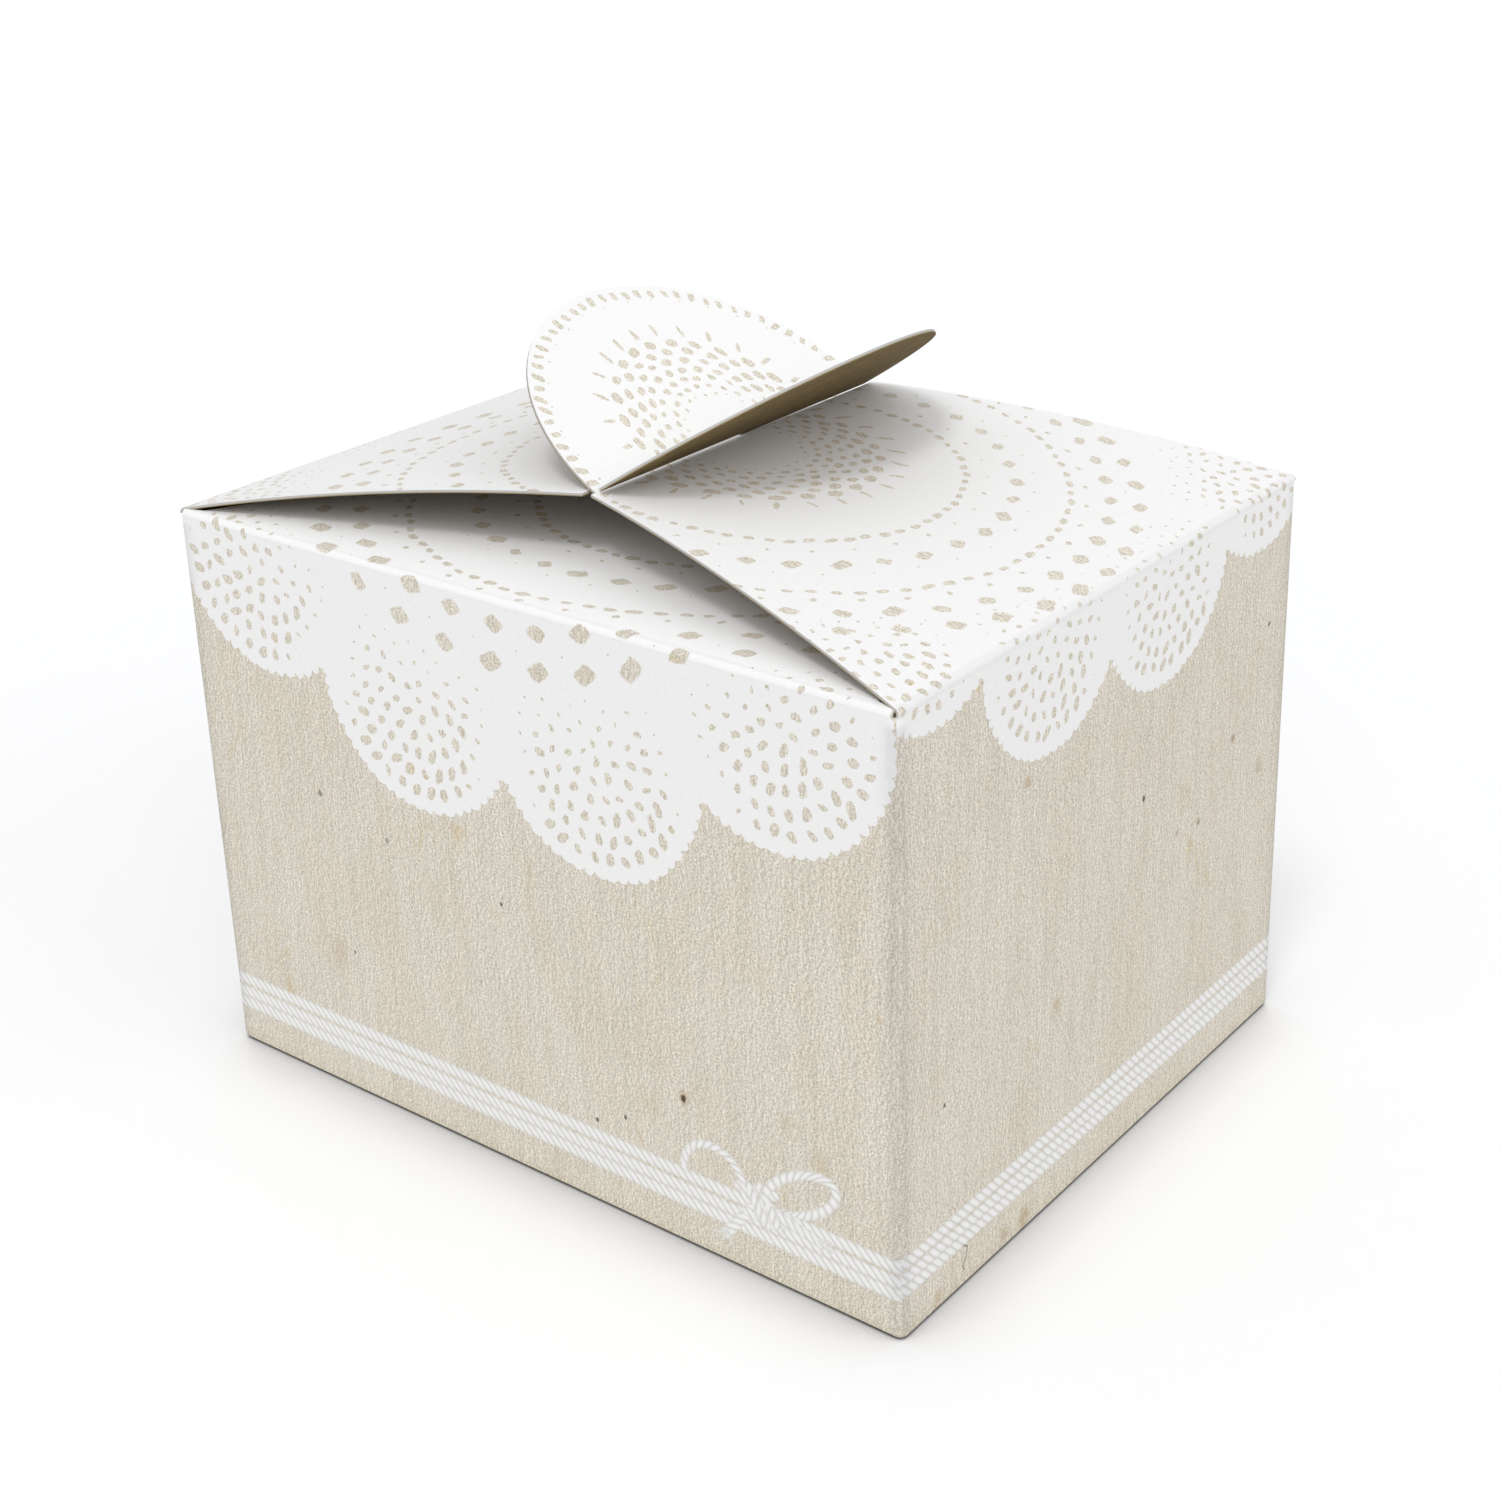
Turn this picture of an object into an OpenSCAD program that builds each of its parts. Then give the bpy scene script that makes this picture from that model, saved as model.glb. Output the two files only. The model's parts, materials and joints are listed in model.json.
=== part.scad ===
// Wedding card box: a small folding carton with four walls, a snap-lock base,
// two tucked flaps and two closure panels whose half-round tabs lock over the middle.
// All pieces are cut from one printed board, so each face between two creases is a piece.
// Origin: middle of the footprint on the table. +X along the long side, +Z up.

/* [Carton] */
// Outside length along X
length = 140; // [120:1:170]
// Outside width along Y
width = 111.8; // [96:1:130]
// Height from the table to the top creases
wall_height = 97.3; // [70:1:140]
// Thickness of the board
board = 0.5; // [0.4:0.05:0.7]
// Outside radius of the upright folds
corner_radius = 1; // [0.8:0.1:2]
// Gap left in a crease between two hinged faces
crease_gap = 0.05; // [0.03:0.01:0.12]

/* [Closure panels] */
// Rise of each closure panel above level, in degrees
panel_rise = 8; // [6:0.5:14]
// Height of the panel's soft arch over its chord
panel_crown = 1.6; // [1:0.2:3]
// Width of each panel where the two cross
neck_width = 70; // [68:1:80]
// Relief between a panel's end and the box corner
corner_relief = 0.5; // [0.4:0.1:1]

/* [Lock tabs] */
// How far each end of a tab's crease stands in from the panel's corner
tab_inset = 1.1; // [0.6:0.1:4]
// Reach of a tab from its crease to its tip
tab_reach = 35.5; // [30:0.5:42]
// Lean of the right panel's tab above level, in degrees
tab_lean_right = 31.7; // [22:0.1:45]
// Lean of the left panel's tab above level, in degrees
tab_lean_left = 33; // [22:0.1:45]
// Half width of the slit that lets the other panel through
slit_gap = 1.2; // [1:0.1:2]
// How far each slit runs past the middle
slit_overlap = 0.3; // [0.2:0.1:1]
// Half width of the crease between a panel and its tab
tab_crease = 0.2; // [0.18:0.02:0.4]

/* [Tucked flaps] */
// Depth of the front and back flaps
flap_depth = 50; // [36:1:52]
// Droop of the tucked flaps below level, in degrees
flap_droop = 1.5; // [1:0.5:5]
// Slant of a flap's side edge, as sideways run per depth
flap_slant = 0.45; // [0.4:0.05:0.6]
// Length of the narrow lip beside each corner
lip_length = 4.2; // [4:0.1:6]
// Gap between a flap's lip and the closure panel's edge
lip_gap = 0.3; // [0.2:0.05:0.5]

/* [Base] */
// Distance from the middle of the box to the back base flap's free edge
lock_line = 12.7; // [8:0.1:20]
// Overlap of the front base flap under the back one, beside the tongue
base_overlap = 8; // [4:1:12]
// Depth of the side base flaps
base_side_depth = 44; // [38:1:45]
// Slant of the side base flaps' ends, as sideways run per depth
base_side_slant = 0.35; // [0.2:0.05:0.5]
// Width of the locking tongue
tongue_width = 46; // [40:1:47]
// Overlap of the tongue on the back base flap
tongue_reach = 14; // [10:1:20]
// Run of the tongue's ramp up to the inside of the base
tongue_ramp = 4; // [3.5:0.5:6]
// Clearance round the base flaps
base_gap = 0.1; // [0.05:0.05:0.3]
// Clearance between two layers of board
layer_gap = 0.05; // [0.03:0.01:0.1]

/* [Glue flap] */
// Width of the glue flap
glue_width = 13; // [9:1:18]
// Distance of the glue flap's ends from the top and bottom creases
glue_margin = 5; // [4:0.5:8]
// Slope of the glue flap's ends, as height per width
glue_slope = 0.4; // [0.2:0.05:0.8]

/* [Hidden] */
$fn = 96;

half_length = length / 2;
half_width = width / 2;
// The faces inside the walls
inner_length = half_length - board;
inner_width = half_width - board;
wall_top = wall_height - board - crease_gap;

// Closure panels: the chord runs from the top crease to the middle of the box
panel_length = half_length / cos(panel_rise);
cross_height = wall_height + panel_length * sin(panel_rise);
panel_half = half_width - corner_relief;
neck_half = neck_width / 2;
edge_slope = (panel_half - neck_half) / panel_length;
arch_radius = panel_length * panel_length / (8 * panel_crown) + panel_crown / 2;
arch_half = asin((panel_length / 2 + 2 * board) / arch_radius);
arch_steps = 24;

// Tabs: a circle through the tip and through both ends of the crease
tab_half = neck_half - tab_inset;
tab_shift = (tab_reach - tab_half * tab_half / tab_reach) / 2;
tab_radius = tab_reach - tab_shift;

// Base: three layers of board and the tongue on top
side_level = board + layer_gap;
back_level = 2 * side_level;
tongue_level = 3 * side_level;
base_x = inner_length - base_gap;
base_y = inner_width - base_gap;
back_edge = -lock_line;
front_edge = back_edge + base_overlap;

board_color = [0.80, 0.76, 0.69];
inner_color = [0.62, 0.52, 0.36];
lace_color = [0.95, 0.94, 0.92];

// One upright wall: a flat face with half of the rounded fold at each end
module upright(wide, away) {
  flat_half = wide / 2 - corner_radius;
  translate([0, -away, 0]) linear_extrude(height = wall_top) {
    translate([-flat_half, 0]) square([2 * flat_half, board]);
    for (s = [-1, 1]) translate([s * flat_half, corner_radius]) intersection() {
      difference() {
        circle(r = corner_radius);
        circle(r = corner_radius - board);
      }
      polygon([[0, 0], [0, -2 * corner_radius], [s * 2 * corner_radius, -2 * corner_radius]]);
    }
  }
}

module wall_front() color(board_color) upright(length, half_width);
module wall_right() color(board_color) rotate([0, 0, 90]) upright(width, half_length);
module wall_back() color(board_color) rotate([0, 0, 180]) upright(length, half_width);
module wall_left() color(board_color) rotate([0, 0, 270]) upright(width, half_length);

// Glue flap: folded from the left wall and stuck inside the back wall
module glue_flap() color(inner_color)
  translate([-inner_length + board, inner_width - layer_gap, 0]) rotate([90, 0, 0])
    linear_extrude(height = board) polygon([
      [0, glue_margin], [glue_width, glue_margin + glue_slope * glue_width],
      [glue_width, wall_top - glue_margin - glue_slope * glue_width], [0, wall_top - glue_margin]]);

// Front base flap: the outermost layer, notched where its tongue leaves it
module base_front() color(board_color) difference() {
  linear_extrude(height = board) polygon([
    [-base_x, -base_y], [base_x, -base_y],
    [base_x - base_side_slant * 10, front_edge], [-base_x + base_side_slant * 10, front_edge]]);
  translate([-tongue_width / 2 - base_gap, back_edge - tongue_ramp - base_gap, -board])
    cube([tongue_width + 2 * base_gap, tongue_ramp + 2 * base_overlap, 3 * board]);
}

// Tongue: climbs through the gap between the side flaps and lies on the back flap
module base_tongue() color(inner_color) {
  low = back_edge - tongue_ramp;
  high = back_edge - 2 * base_gap;
  lift = tongue_level;
  rotate([90, 0, 90]) translate([0, 0, -tongue_width / 2]) linear_extrude(height = tongue_width)
    polygon([[low, 0], [high, lift], [back_edge + tongue_reach, lift],
      [back_edge + tongue_reach, lift + board], [high - board, lift + board], [low, board]]);
}

// Side base flap, in the second layer, drawn on the right
module base_side() translate([0, 0, side_level]) linear_extrude(height = board)
  polygon([[base_x, -base_y], [base_x, base_y],
    [base_x - base_side_depth, base_y - base_side_slant * base_side_depth],
    [base_x - base_side_depth, -base_y + base_side_slant * base_side_depth]]);

module base_right() color(board_color) base_side();
module base_left() color(board_color) rotate([0, 0, 180]) base_side();

// Back base flap: the inner layer that the tongue locks over
module base_back() color(inner_color) translate([0, 0, back_level]) linear_extrude(height = board)
  polygon([[-base_x, base_y], [base_x, base_y],
    [base_x - base_side_slant * 10, back_edge], [-base_x + base_side_slant * 10, back_edge]]);

// Points along the arch from before the top crease to past the crossing, or back again
function arch(radius, way) = [for (i = [0 : arch_steps])
  let (turn = way * arch_half * (2 * i / arch_steps - 1))
  [panel_length / 2 + radius * sin(turn), panel_crown - arch_radius + radius * cos(turn)]];

// Closure panel in its own frame: x from the top crease to the crossing, z up from the chord.
// Its half with y above zero carries the tab and the other half ends at the slit.
module closure_panel() intersection() {
  translate([0, half_width, 0]) rotate([90, 0, 0]) linear_extrude(height = width)
    polygon(concat(arch(arch_radius, 1), arch(arch_radius - board, -1)));
  translate([0, 0, -4 * board]) linear_extrude(height = panel_crown + 8 * board) union() {
    polygon([[0, -panel_half], [panel_length - slit_gap, -panel_half + edge_slope * (panel_length - slit_gap)],
      [panel_length - slit_gap, panel_half - edge_slope * (panel_length - slit_gap)], [0, panel_half]]);
    polygon([[panel_length / 2, slit_overlap], [panel_length - tab_crease, slit_overlap],
      [panel_length - tab_crease, panel_half - edge_slope * (panel_length - tab_crease)],
      [panel_length / 2, panel_half - edge_slope * panel_length / 2]]);
  }
}

// Half-round tab in its own frame: x from its crease, half of it cut free at the slit
module lock_tab() translate([0, 0, -board / 2]) linear_extrude(height = board) difference() {
  translate([tab_shift, 0]) circle(r = tab_radius);
  translate([tab_crease - 3 * tab_radius, -2 * tab_radius]) square([3 * tab_radius, 4 * tab_radius]);
  translate([slit_gap - 3 * tab_radius, slit_overlap - 4 * tab_radius]) square([3 * tab_radius, 4 * tab_radius]);
}

module placed_panel() translate([-half_length, 0, wall_height]) rotate([0, -panel_rise, 0]) closure_panel();
module placed_tab(lean) translate([0, 0, cross_height - board / 2]) rotate([0, -lean, 0]) lock_tab();

module panel_left() color(lace_color) placed_panel();
module tab_left() color(inner_color) placed_tab(tab_lean_left);
module panel_right() color(lace_color) rotate([0, 0, 180]) placed_panel();
module tab_right() color(lace_color) rotate([0, 0, 180]) placed_tab(tab_lean_right);

// Tucked flap in front: a tapered flap with a narrow lip that follows the closure panel's edge
module tucked_flap() {
  first = corner_relief + crease_gap + lip_gap;
  lip = corner_relief + edge_slope * lip_length - lip_gap;
  tip = lip_length + flap_slant * (flap_depth - lip);
  translate([0, -half_width, wall_height]) rotate([-flap_droop, 0, 0])
    translate([0, 0, -board]) linear_extrude(height = board) polygon([
      [-half_length + first, crease_gap], [half_length - first, crease_gap],
      [half_length - first, corner_relief + edge_slope * first - lip_gap],
      [half_length - lip_length, lip], [half_length - tip, flap_depth],
      [-half_length + tip, flap_depth], [-half_length + lip_length, lip],
      [-half_length + first, corner_relief + edge_slope * first - lip_gap]]);
}

module flap_front() color(lace_color) tucked_flap();
module flap_back() color(lace_color) rotate([0, 0, 180]) tucked_flap();

wall_front();
wall_right();
wall_back();
wall_left();
glue_flap();
base_front();
base_tongue();
base_left();
base_right();
base_back();
panel_right();
tab_right();
panel_left();
tab_left();
flap_front();
flap_back();
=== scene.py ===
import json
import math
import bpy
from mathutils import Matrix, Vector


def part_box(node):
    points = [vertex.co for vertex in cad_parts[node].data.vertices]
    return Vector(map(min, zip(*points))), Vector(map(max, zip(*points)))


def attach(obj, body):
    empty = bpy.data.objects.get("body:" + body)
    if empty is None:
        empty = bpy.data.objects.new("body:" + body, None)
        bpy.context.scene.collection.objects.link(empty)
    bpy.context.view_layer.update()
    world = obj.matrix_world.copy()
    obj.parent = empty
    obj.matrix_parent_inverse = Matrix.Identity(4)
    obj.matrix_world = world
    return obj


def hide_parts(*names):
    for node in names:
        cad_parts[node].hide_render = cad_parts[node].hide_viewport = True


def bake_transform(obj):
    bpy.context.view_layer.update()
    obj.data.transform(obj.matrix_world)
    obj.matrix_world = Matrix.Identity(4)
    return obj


bl_info = {
    "name": "Wedding Card Box",
    "version": (1, 0, 0),
    "blender": (4, 5, 0),
    "location": "3D View > Sidebar > Card Box",
    "description": "Dresses a folded carton with its creased board and lace print",
    "category": "Object",
}

from functools import partialmethod

import bmesh
import bpy
from mathutils import Matrix, Vector

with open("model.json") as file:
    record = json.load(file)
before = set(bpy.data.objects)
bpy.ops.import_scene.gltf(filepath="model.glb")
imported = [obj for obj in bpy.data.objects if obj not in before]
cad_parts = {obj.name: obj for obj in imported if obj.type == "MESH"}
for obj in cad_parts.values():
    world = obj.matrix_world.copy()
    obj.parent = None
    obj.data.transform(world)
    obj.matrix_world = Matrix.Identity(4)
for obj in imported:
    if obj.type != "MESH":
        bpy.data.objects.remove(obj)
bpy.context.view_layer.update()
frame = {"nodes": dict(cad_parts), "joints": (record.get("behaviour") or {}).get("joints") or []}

MM = 0.001
# Side of the square blank that every face is cut from
BLANK = 0.3
# Height of the line between the lace print and the cord print on the walls
FOOT = 30 * MM
# Places closer together than this are one place
TOUCH = 1e-7
# Edges that turn less than this, in degrees, are shaded smooth
SMOOTH = 35
# Strips that round each kind of fold, and each panel's arch, and straight cuts that round a tab
WALL_FOLD, PANEL_FOLD, TAB_FOLD, FLAP_FOLD, ARCH, RIM = 6, 7, 4, 8, 24, 96
# Strips across and up a wall's lace print, across and up a tab, and along a flap
WALL_COLUMNS, WALL_ROWS, TAB_STRIPS, FLAP_STRIPS = 8, 5, 6, 5
# How far a panel's slit runs past its middle line
SLIT_PAST = 0.3 * MM
# A tucked flap's lip: how far in from the wall's end it stops, its height there and its slope
LIP_IN, LIP_UP, LIP_SLOPE = 4.2 * MM, 1.41 * MM, 0.277
# How far a tucked flap narrows for each millimetre of its depth, and the radius of its tips
TAPER, TIP = 0.45, 3 * MM


def span(node, axis):
    """Lowest and highest place of a solid along one axis"""
    low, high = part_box(node)
    return low[axis], high[axis]


def joint_at(name):
    """Place of a crease"""
    for joint in frame["joints"]:
        if joint["name"] == name:
            return Vector(joint["pos_m"])
    raise RuntimeError("the box has no crease named " + name)


LENGTH = span("wall_right", 0)[1] - span("wall_left", 0)[0]
WIDTH = span("wall_back", 1)[1] - span("wall_front", 1)[0]
CREASE = joint_at("right_panel_fold").z
CROSSING = joint_at("right_tab_crease").z
BOARD = span("base_back", 2)[1] - span("base_back", 2)[0]
PANEL_HALF = span("panel_right", 1)[1]
FLAP_END = span("flap_front", 0)[1]


class CartonSizes(bpy.types.PropertyGroup):
    """Sizes of the folded board"""

    board: bpy.props.FloatProperty(
        name="Board", description="Thickness of the board", default=BOARD, unit="LENGTH", precision=5)
    top_fold: bpy.props.FloatProperty(
        name="Top fold", description="Outside radius of the folds along the top", default=0.9 * MM,
        unit="LENGTH", precision=5)
    upright_fold: bpy.props.FloatProperty(
        name="Upright fold", description="Outside radius of the four upright folds", default=1.3 * MM,
        unit="LENGTH", precision=5)
    base_fold: bpy.props.FloatProperty(
        name="Base fold", description="Outside radius of the folds along the table", default=0.6 * MM,
        unit="LENGTH", precision=5)
    tab_fold: bpy.props.FloatProperty(
        name="Tab fold", description="Radius of the soft crease at the root of a lock tab",
        default=1.2 * MM, unit="LENGTH", precision=5)
    neck_half: bpy.props.FloatProperty(
        name="Neck", description="Half width of a closure panel where the two cross", default=35 * MM,
        unit="LENGTH", precision=5)
    crown: bpy.props.FloatProperty(
        name="Crown", description="Height of a closure panel's arch over its chord", default=1.6 * MM,
        unit="LENGTH", precision=5)
    tab_half: bpy.props.FloatProperty(
        name="Tab root", description="Half length of a lock tab's crease", default=33.9 * MM,
        unit="LENGTH", precision=5)
    tab_reach: bpy.props.FloatProperty(
        name="Tab reach", description="Reach of a lock tab from its crease to its tip", default=35.5 * MM,
        unit="LENGTH", precision=5)
    slit: bpy.props.FloatProperty(
        name="Slit", description="Half width of the slit that lets the other tab through",
        default=1.2 * MM, unit="LENGTH", precision=5)
    lean_right: bpy.props.FloatProperty(
        name="Right lean", description="Lean of the right panel's tab above level",
        default=math.radians(31.7), unit="ROTATION")
    lean_left: bpy.props.FloatProperty(
        name="Left lean", description="Lean of the left panel's tab above level",
        default=math.radians(33), unit="ROTATION")
    flap_depth: bpy.props.FloatProperty(
        name="Flap depth", description="Depth of the tucked flaps", default=50 * MM, unit="LENGTH",
        precision=5)
    flap_droop: bpy.props.FloatProperty(
        name="Flap droop", description="Droop of the tucked flaps below level",
        default=math.radians(1.5), unit="ROTATION")


class CartonColours(bpy.types.PropertyGroup):
    """Colours of the board and its print"""

    paper: bpy.props.FloatVectorProperty(
        name="Paper", description="Natural paper of the printed face", subtype="COLOR", size=3,
        min=0, max=1, default=(1.0, 0.95, 0.855))
    print_white: bpy.props.FloatVectorProperty(
        name="Print", description="White of the lace and cord print", subtype="COLOR", size=3,
        min=0, max=1, default=(0.90, 0.90, 0.90))
    # Partly painted shade: the brown is set darker than bare kraft, to carry the shade on the tabs'
    # undersides
    inside: bpy.props.FloatVectorProperty(
        name="Inside", description="Raw board on the inside", subtype="COLOR", size=3,
        min=0, max=1, default=(0.160, 0.112, 0.042))
    cut_edge: bpy.props.FloatVectorProperty(
        name="Cut edge", description="Cut edge of the board", subtype="COLOR", size=3,
        min=0, max=1, default=(0.30, 0.24, 0.13))


# ---------------------------------------------------------------- board work


def new_blank(name, stand_off):
    """A square of board standing on edge, its face to -Y and its middle on the top crease"""
    bpy.ops.object.select_all(action="DESELECT")
    bpy.ops.mesh.primitive_plane_add(
        size=BLANK, location=(0, -stand_off, CREASE), rotation=(math.pi / 2, 0, 0))
    piece = bpy.context.object
    piece.name = piece.data.name = name
    bpy.ops.object.transform_apply(location=True, rotation=True, scale=True)
    piece.data.uv_layers[0].name = "Blank"
    bpy.ops.object.mode_set(mode="EDIT")
    bpy.ops.mesh.select_mode(type="VERT")
    return piece


def cut(across, height, outward, trim=False):
    """Cuts the standing blank along a line. Outward is the side that a trim takes away, as an
    (across, up) direction, and heights are from the top crease."""
    bpy.ops.mesh.select_all(action="SELECT")
    bpy.ops.mesh.bisect(
        plane_co=(across, 0, CREASE + height), plane_no=(outward[0], 0, outward[1]),
        clear_outer=trim, threshold=TOUCH)


def take_away(piece, test):
    """Deletes the faces of the standing blank whose middle passes the test"""
    bpy.ops.mesh.select_all(action="DESELECT")
    bpy.ops.mesh.select_mode(type="FACE")
    shape = bmesh.from_edit_mesh(piece.data)
    for face in shape.faces:
        middle = face.calc_center_median()
        face.select_set(bool(test(middle.x, middle.z - CREASE)))
    bmesh.update_edit_mesh(piece.data)
    bpy.ops.mesh.delete(type="FACE")
    bpy.ops.mesh.select_mode(type="VERT")


def paint_foot(piece, test):
    """Gives the faces whose middle passes the test the second set of finishes"""
    shape = bmesh.from_edit_mesh(piece.data)
    for face in shape.faces:
        middle = face.calc_center_median()
        face.material_index = 3 if test(middle.x, middle.z - CREASE) else 0
    bmesh.update_edit_mesh(piece.data)


def points_of(piece):
    """Where every point of the piece lies now"""
    shape = bmesh.from_edit_mesh(piece.data)
    shape.verts.ensure_lookup_table()
    return [point.co.copy() for point in shape.verts]


def choose(piece, flat, test):
    """Selects the points whose place on the flat blank passes the test"""
    shape = bmesh.from_edit_mesh(piece.data)
    shape.verts.ensure_lookup_table()
    for point, start in zip(shape.verts, flat):
        point.select_set(bool(test(start.x, start.z - CREASE)))
    shape.select_flush_mode()
    bmesh.update_edit_mesh(piece.data)


def turn(angle, axis, centre):
    """Turns the selected points about an axis. With no window the operator turns the other way."""
    bpy.ops.transform.rotate(
        value=-angle, orient_axis=axis, orient_type="GLOBAL", center_override=centre)


def rows_of(start, radius, angle, count):
    """Places of the rows that turn a strip through an angle at a radius, and the strip's end"""
    step = 2 * radius * math.tan(angle / count / 2)
    return [start + (i + 0.5) * step for i in range(count)], start + count * step


def roll(piece, flat, rows, angle, pen, past, axis="X", side=1):
    """Turns all that lies past each row a little further about an axis. The pen holds the surface's
    place across that axis, its heading there and how far along the blank it has come."""
    out, rise, heading, at = pen
    step = angle / len(rows)
    for row in rows:
        out += math.cos(heading) * (row - at)
        rise += math.sin(heading) * (row - at)
        choose(piece, flat, lambda across, up: past(across, up) > row + TOUCH)
        turn(side * step, axis, (0, out, rise) if axis == "X" else (side * out, rise, 0))
        heading += step
        at = row
    return out, rise, heading, at


def roll_over(piece, flat, rows, angle, pen):
    """Rolls what lies higher up the blank over the box"""
    return roll(piece, flat, rows, -angle, pen, lambda across, up: up)


def finish_board(piece, faces, degrees, sizes):
    """Turns the shaped sheet to its own side of the box and gives it its thickness on the inside,
    with the print outside, raw board inside and a cut edge all round. A second face is the print
    below the foot line."""
    bpy.ops.object.mode_set(mode="OBJECT")
    bpy.ops.object.select_all(action="DESELECT")
    piece.select_set(True)
    bpy.context.view_layer.objects.active = piece
    piece.rotation_euler = (0, 0, math.radians(degrees))
    bpy.ops.object.transform_apply(location=True, rotation=True, scale=True)
    for face in faces:
        for name in (face, "Raw inside", "Cut edge"):
            piece.data.materials.append(bpy.data.materials[name])
    solid = piece.modifiers.new("Board", "SOLIDIFY")
    solid.thickness = sizes.board
    solid.offset = -1
    solid.use_even_offset = True
    solid.material_offset = 1
    solid.material_offset_rim = 2
    printed = len(piece.data.vertices)
    bpy.ops.object.modifier_apply(modifier=solid.name)
    depth = piece.data.attributes.new("Depth", "FLOAT", "POINT")
    for i, item in enumerate(depth.data):
        item.value = 0 if i < printed else 1
    bpy.ops.object.shade_smooth_by_angle(angle=math.radians(SMOOTH))


def beside(direction, y, z):
    """A place on the box, given for the front side, moved round to the side that a piece is on"""
    angle = math.radians(direction)
    return (-math.sin(angle) * y, math.cos(angle) * y, z)


def join_carton(piece, node, stand_off, degrees, turned, sizes):
    """Bakes a closure panel's or a tucked flap's place into its mesh, where it leaves its wall, and hides
    the solid it stands for
    """
    off = sizes.top_fold * math.tan(turned / 2)
    after = math.pi / 2 - turned
    beside(degrees, -stand_off, CREASE - off)
    beside(degrees, -stand_off + off * math.cos(after), CREASE + off * math.sin(after))
    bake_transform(piece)
    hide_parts(node)


# ---------------------------------------------------------------- walls


def panel_arc(sizes):
    """Radius of a closure panel's arch, its half angle and the rise of its chord"""
    rise = math.atan2(CROSSING + sizes.board / 2 - CREASE, LENGTH / 2)
    chord = (LENGTH / 2) / math.cos(rise)
    radius = chord * chord / (8 * sizes.crown) + sizes.crown / 2
    return radius, math.asin(chord / 2 / radius), rise


def panel_turn(sizes):
    """How far the board turns over at a closure panel's crease"""
    radius, half_angle, rise = panel_arc(sizes)
    turned = math.pi / 2 - rise - half_angle
    return turned + sizes.top_fold * math.tan(turned / 2) / radius


def flap_turn(sizes):
    """How far the board turns over at a tucked flap's crease"""
    return math.pi / 2 + sizes.flap_droop


def make_wall(name, node, half, stand_off, degrees, top_turn, faces, sizes):
    """An upright wall, rolled under at the table and back at both ends"""
    top = -sizes.top_fold * math.tan(top_turn / 2)
    level, flat_half = sizes.base_fold, half - sizes.upright_fold
    base_rows, base_end = rows_of(CREASE - level, level, math.pi / 2, WALL_FOLD)
    end_rows, end = rows_of(flat_half, sizes.upright_fold, math.pi / 4, WALL_FOLD)
    piece = new_blank(name, stand_off)
    cut(0, top, (0, 1), trim=True)
    cut(0, -base_end, (0, -1), trim=True)
    for side in (-1, 1):
        cut(side * end, 0, (side, 0), trim=True)
        for row in end_rows + [flat_half]:
            cut(side * row, 0, (1, 0))
    for row in base_rows + [CREASE - level]:
        cut(0, -row, (0, 1))
    for i in range(1, WALL_COLUMNS):
        cut((2 * i / WALL_COLUMNS - 1) * flat_half, 0, (1, 0))
    for i in range(1, WALL_ROWS):
        cut(0, top - i / WALL_ROWS * (CREASE - FOOT), (0, 1))
    for height in (FOOT, FOOT / 2):
        cut(0, height - CREASE, (0, 1))
    flat = points_of(piece)
    paint_foot(piece, lambda across, up: CREASE + up < FOOT)
    under = (-stand_off, level, -math.pi / 2, CREASE - level)
    roll(piece, flat, base_rows, math.pi / 2, under, lambda across, up: -up)
    # Both upright ends turn back through half a fold, to meet the next wall
    back = (flat_half, -stand_off, 0, flat_half)
    for side in (-1, 1):
        roll(piece, flat, end_rows, math.pi / 4, back, lambda across, up: side * across, "Z", side)
    finish_board(piece, faces, degrees, sizes)
    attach(piece, "carton")
    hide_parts(node)


class CARTON_OT_walls(bpy.types.Operator):
    """Fold the four upright walls"""

    bl_idname = "carton.walls"
    bl_label = "Walls"

    def execute(self, context):
        sizes = context.scene.carton_sizes
        long_side = (LENGTH / 2, WIDTH / 2, flap_turn(sizes))
        short_side = (WIDTH / 2, LENGTH / 2, panel_turn(sizes))
        for name, node, side, degrees, faces in (
                ("front_wall", "wall_front", long_side, 0, ("Long lace", "Long foot with bow")),
                ("right_wall", "wall_right", short_side, 90, ("Short lace", "Short foot")),
                ("back_wall", "wall_back", long_side, 180, ("Long lace", "Long foot")),
                ("left_wall", "wall_left", short_side, 270, ("Short lace", "Short foot"))):
            half, stand_off, top_turn = side
            make_wall(name, node, half, stand_off, degrees, top_turn, faces, sizes)
        return {"FINISHED"}


# ---------------------------------------------------------------- closure panels and tabs


def panel_path(sizes):
    """A closure panel on the blank: its lower end, the rows and turn of its crease, the rows and
    turn of its arch, and the blank's height at the crossing"""
    radius, half_angle, rise = panel_arc(sizes)
    turned = panel_turn(sizes)
    start = -sizes.top_fold * math.tan(turned / 2)
    crease_rows, crease_end = rows_of(start, sizes.top_fold, turned, PANEL_FOLD)
    arch = 2 * half_angle - (turned - (math.pi / 2 - rise - half_angle))
    arch_rows, crossing = rows_of(crease_end, radius, arch, ARCH)
    return start, crease_rows, turned, arch_rows, arch, crossing


def tab_root(sizes, lean):
    """A lock tab's crease: where the tab's face and the panel's face meet, the panel's slope there,
    how much of each the soft crease takes up, and where on the blank it starts"""
    _, half_angle, rise = panel_arc(sizes)
    slope = rise - half_angle
    middle = (slope + lean) / 2
    off = sizes.board / 2 / math.cos((lean - slope) / 2)
    corner = (-math.sin(middle) * off, CROSSING + math.cos(middle) * off)
    root = sizes.tab_fold * math.tan((lean - slope) / 2)
    return corner, slope, root, panel_path(sizes)[-1] + corner[0] - root


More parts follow.
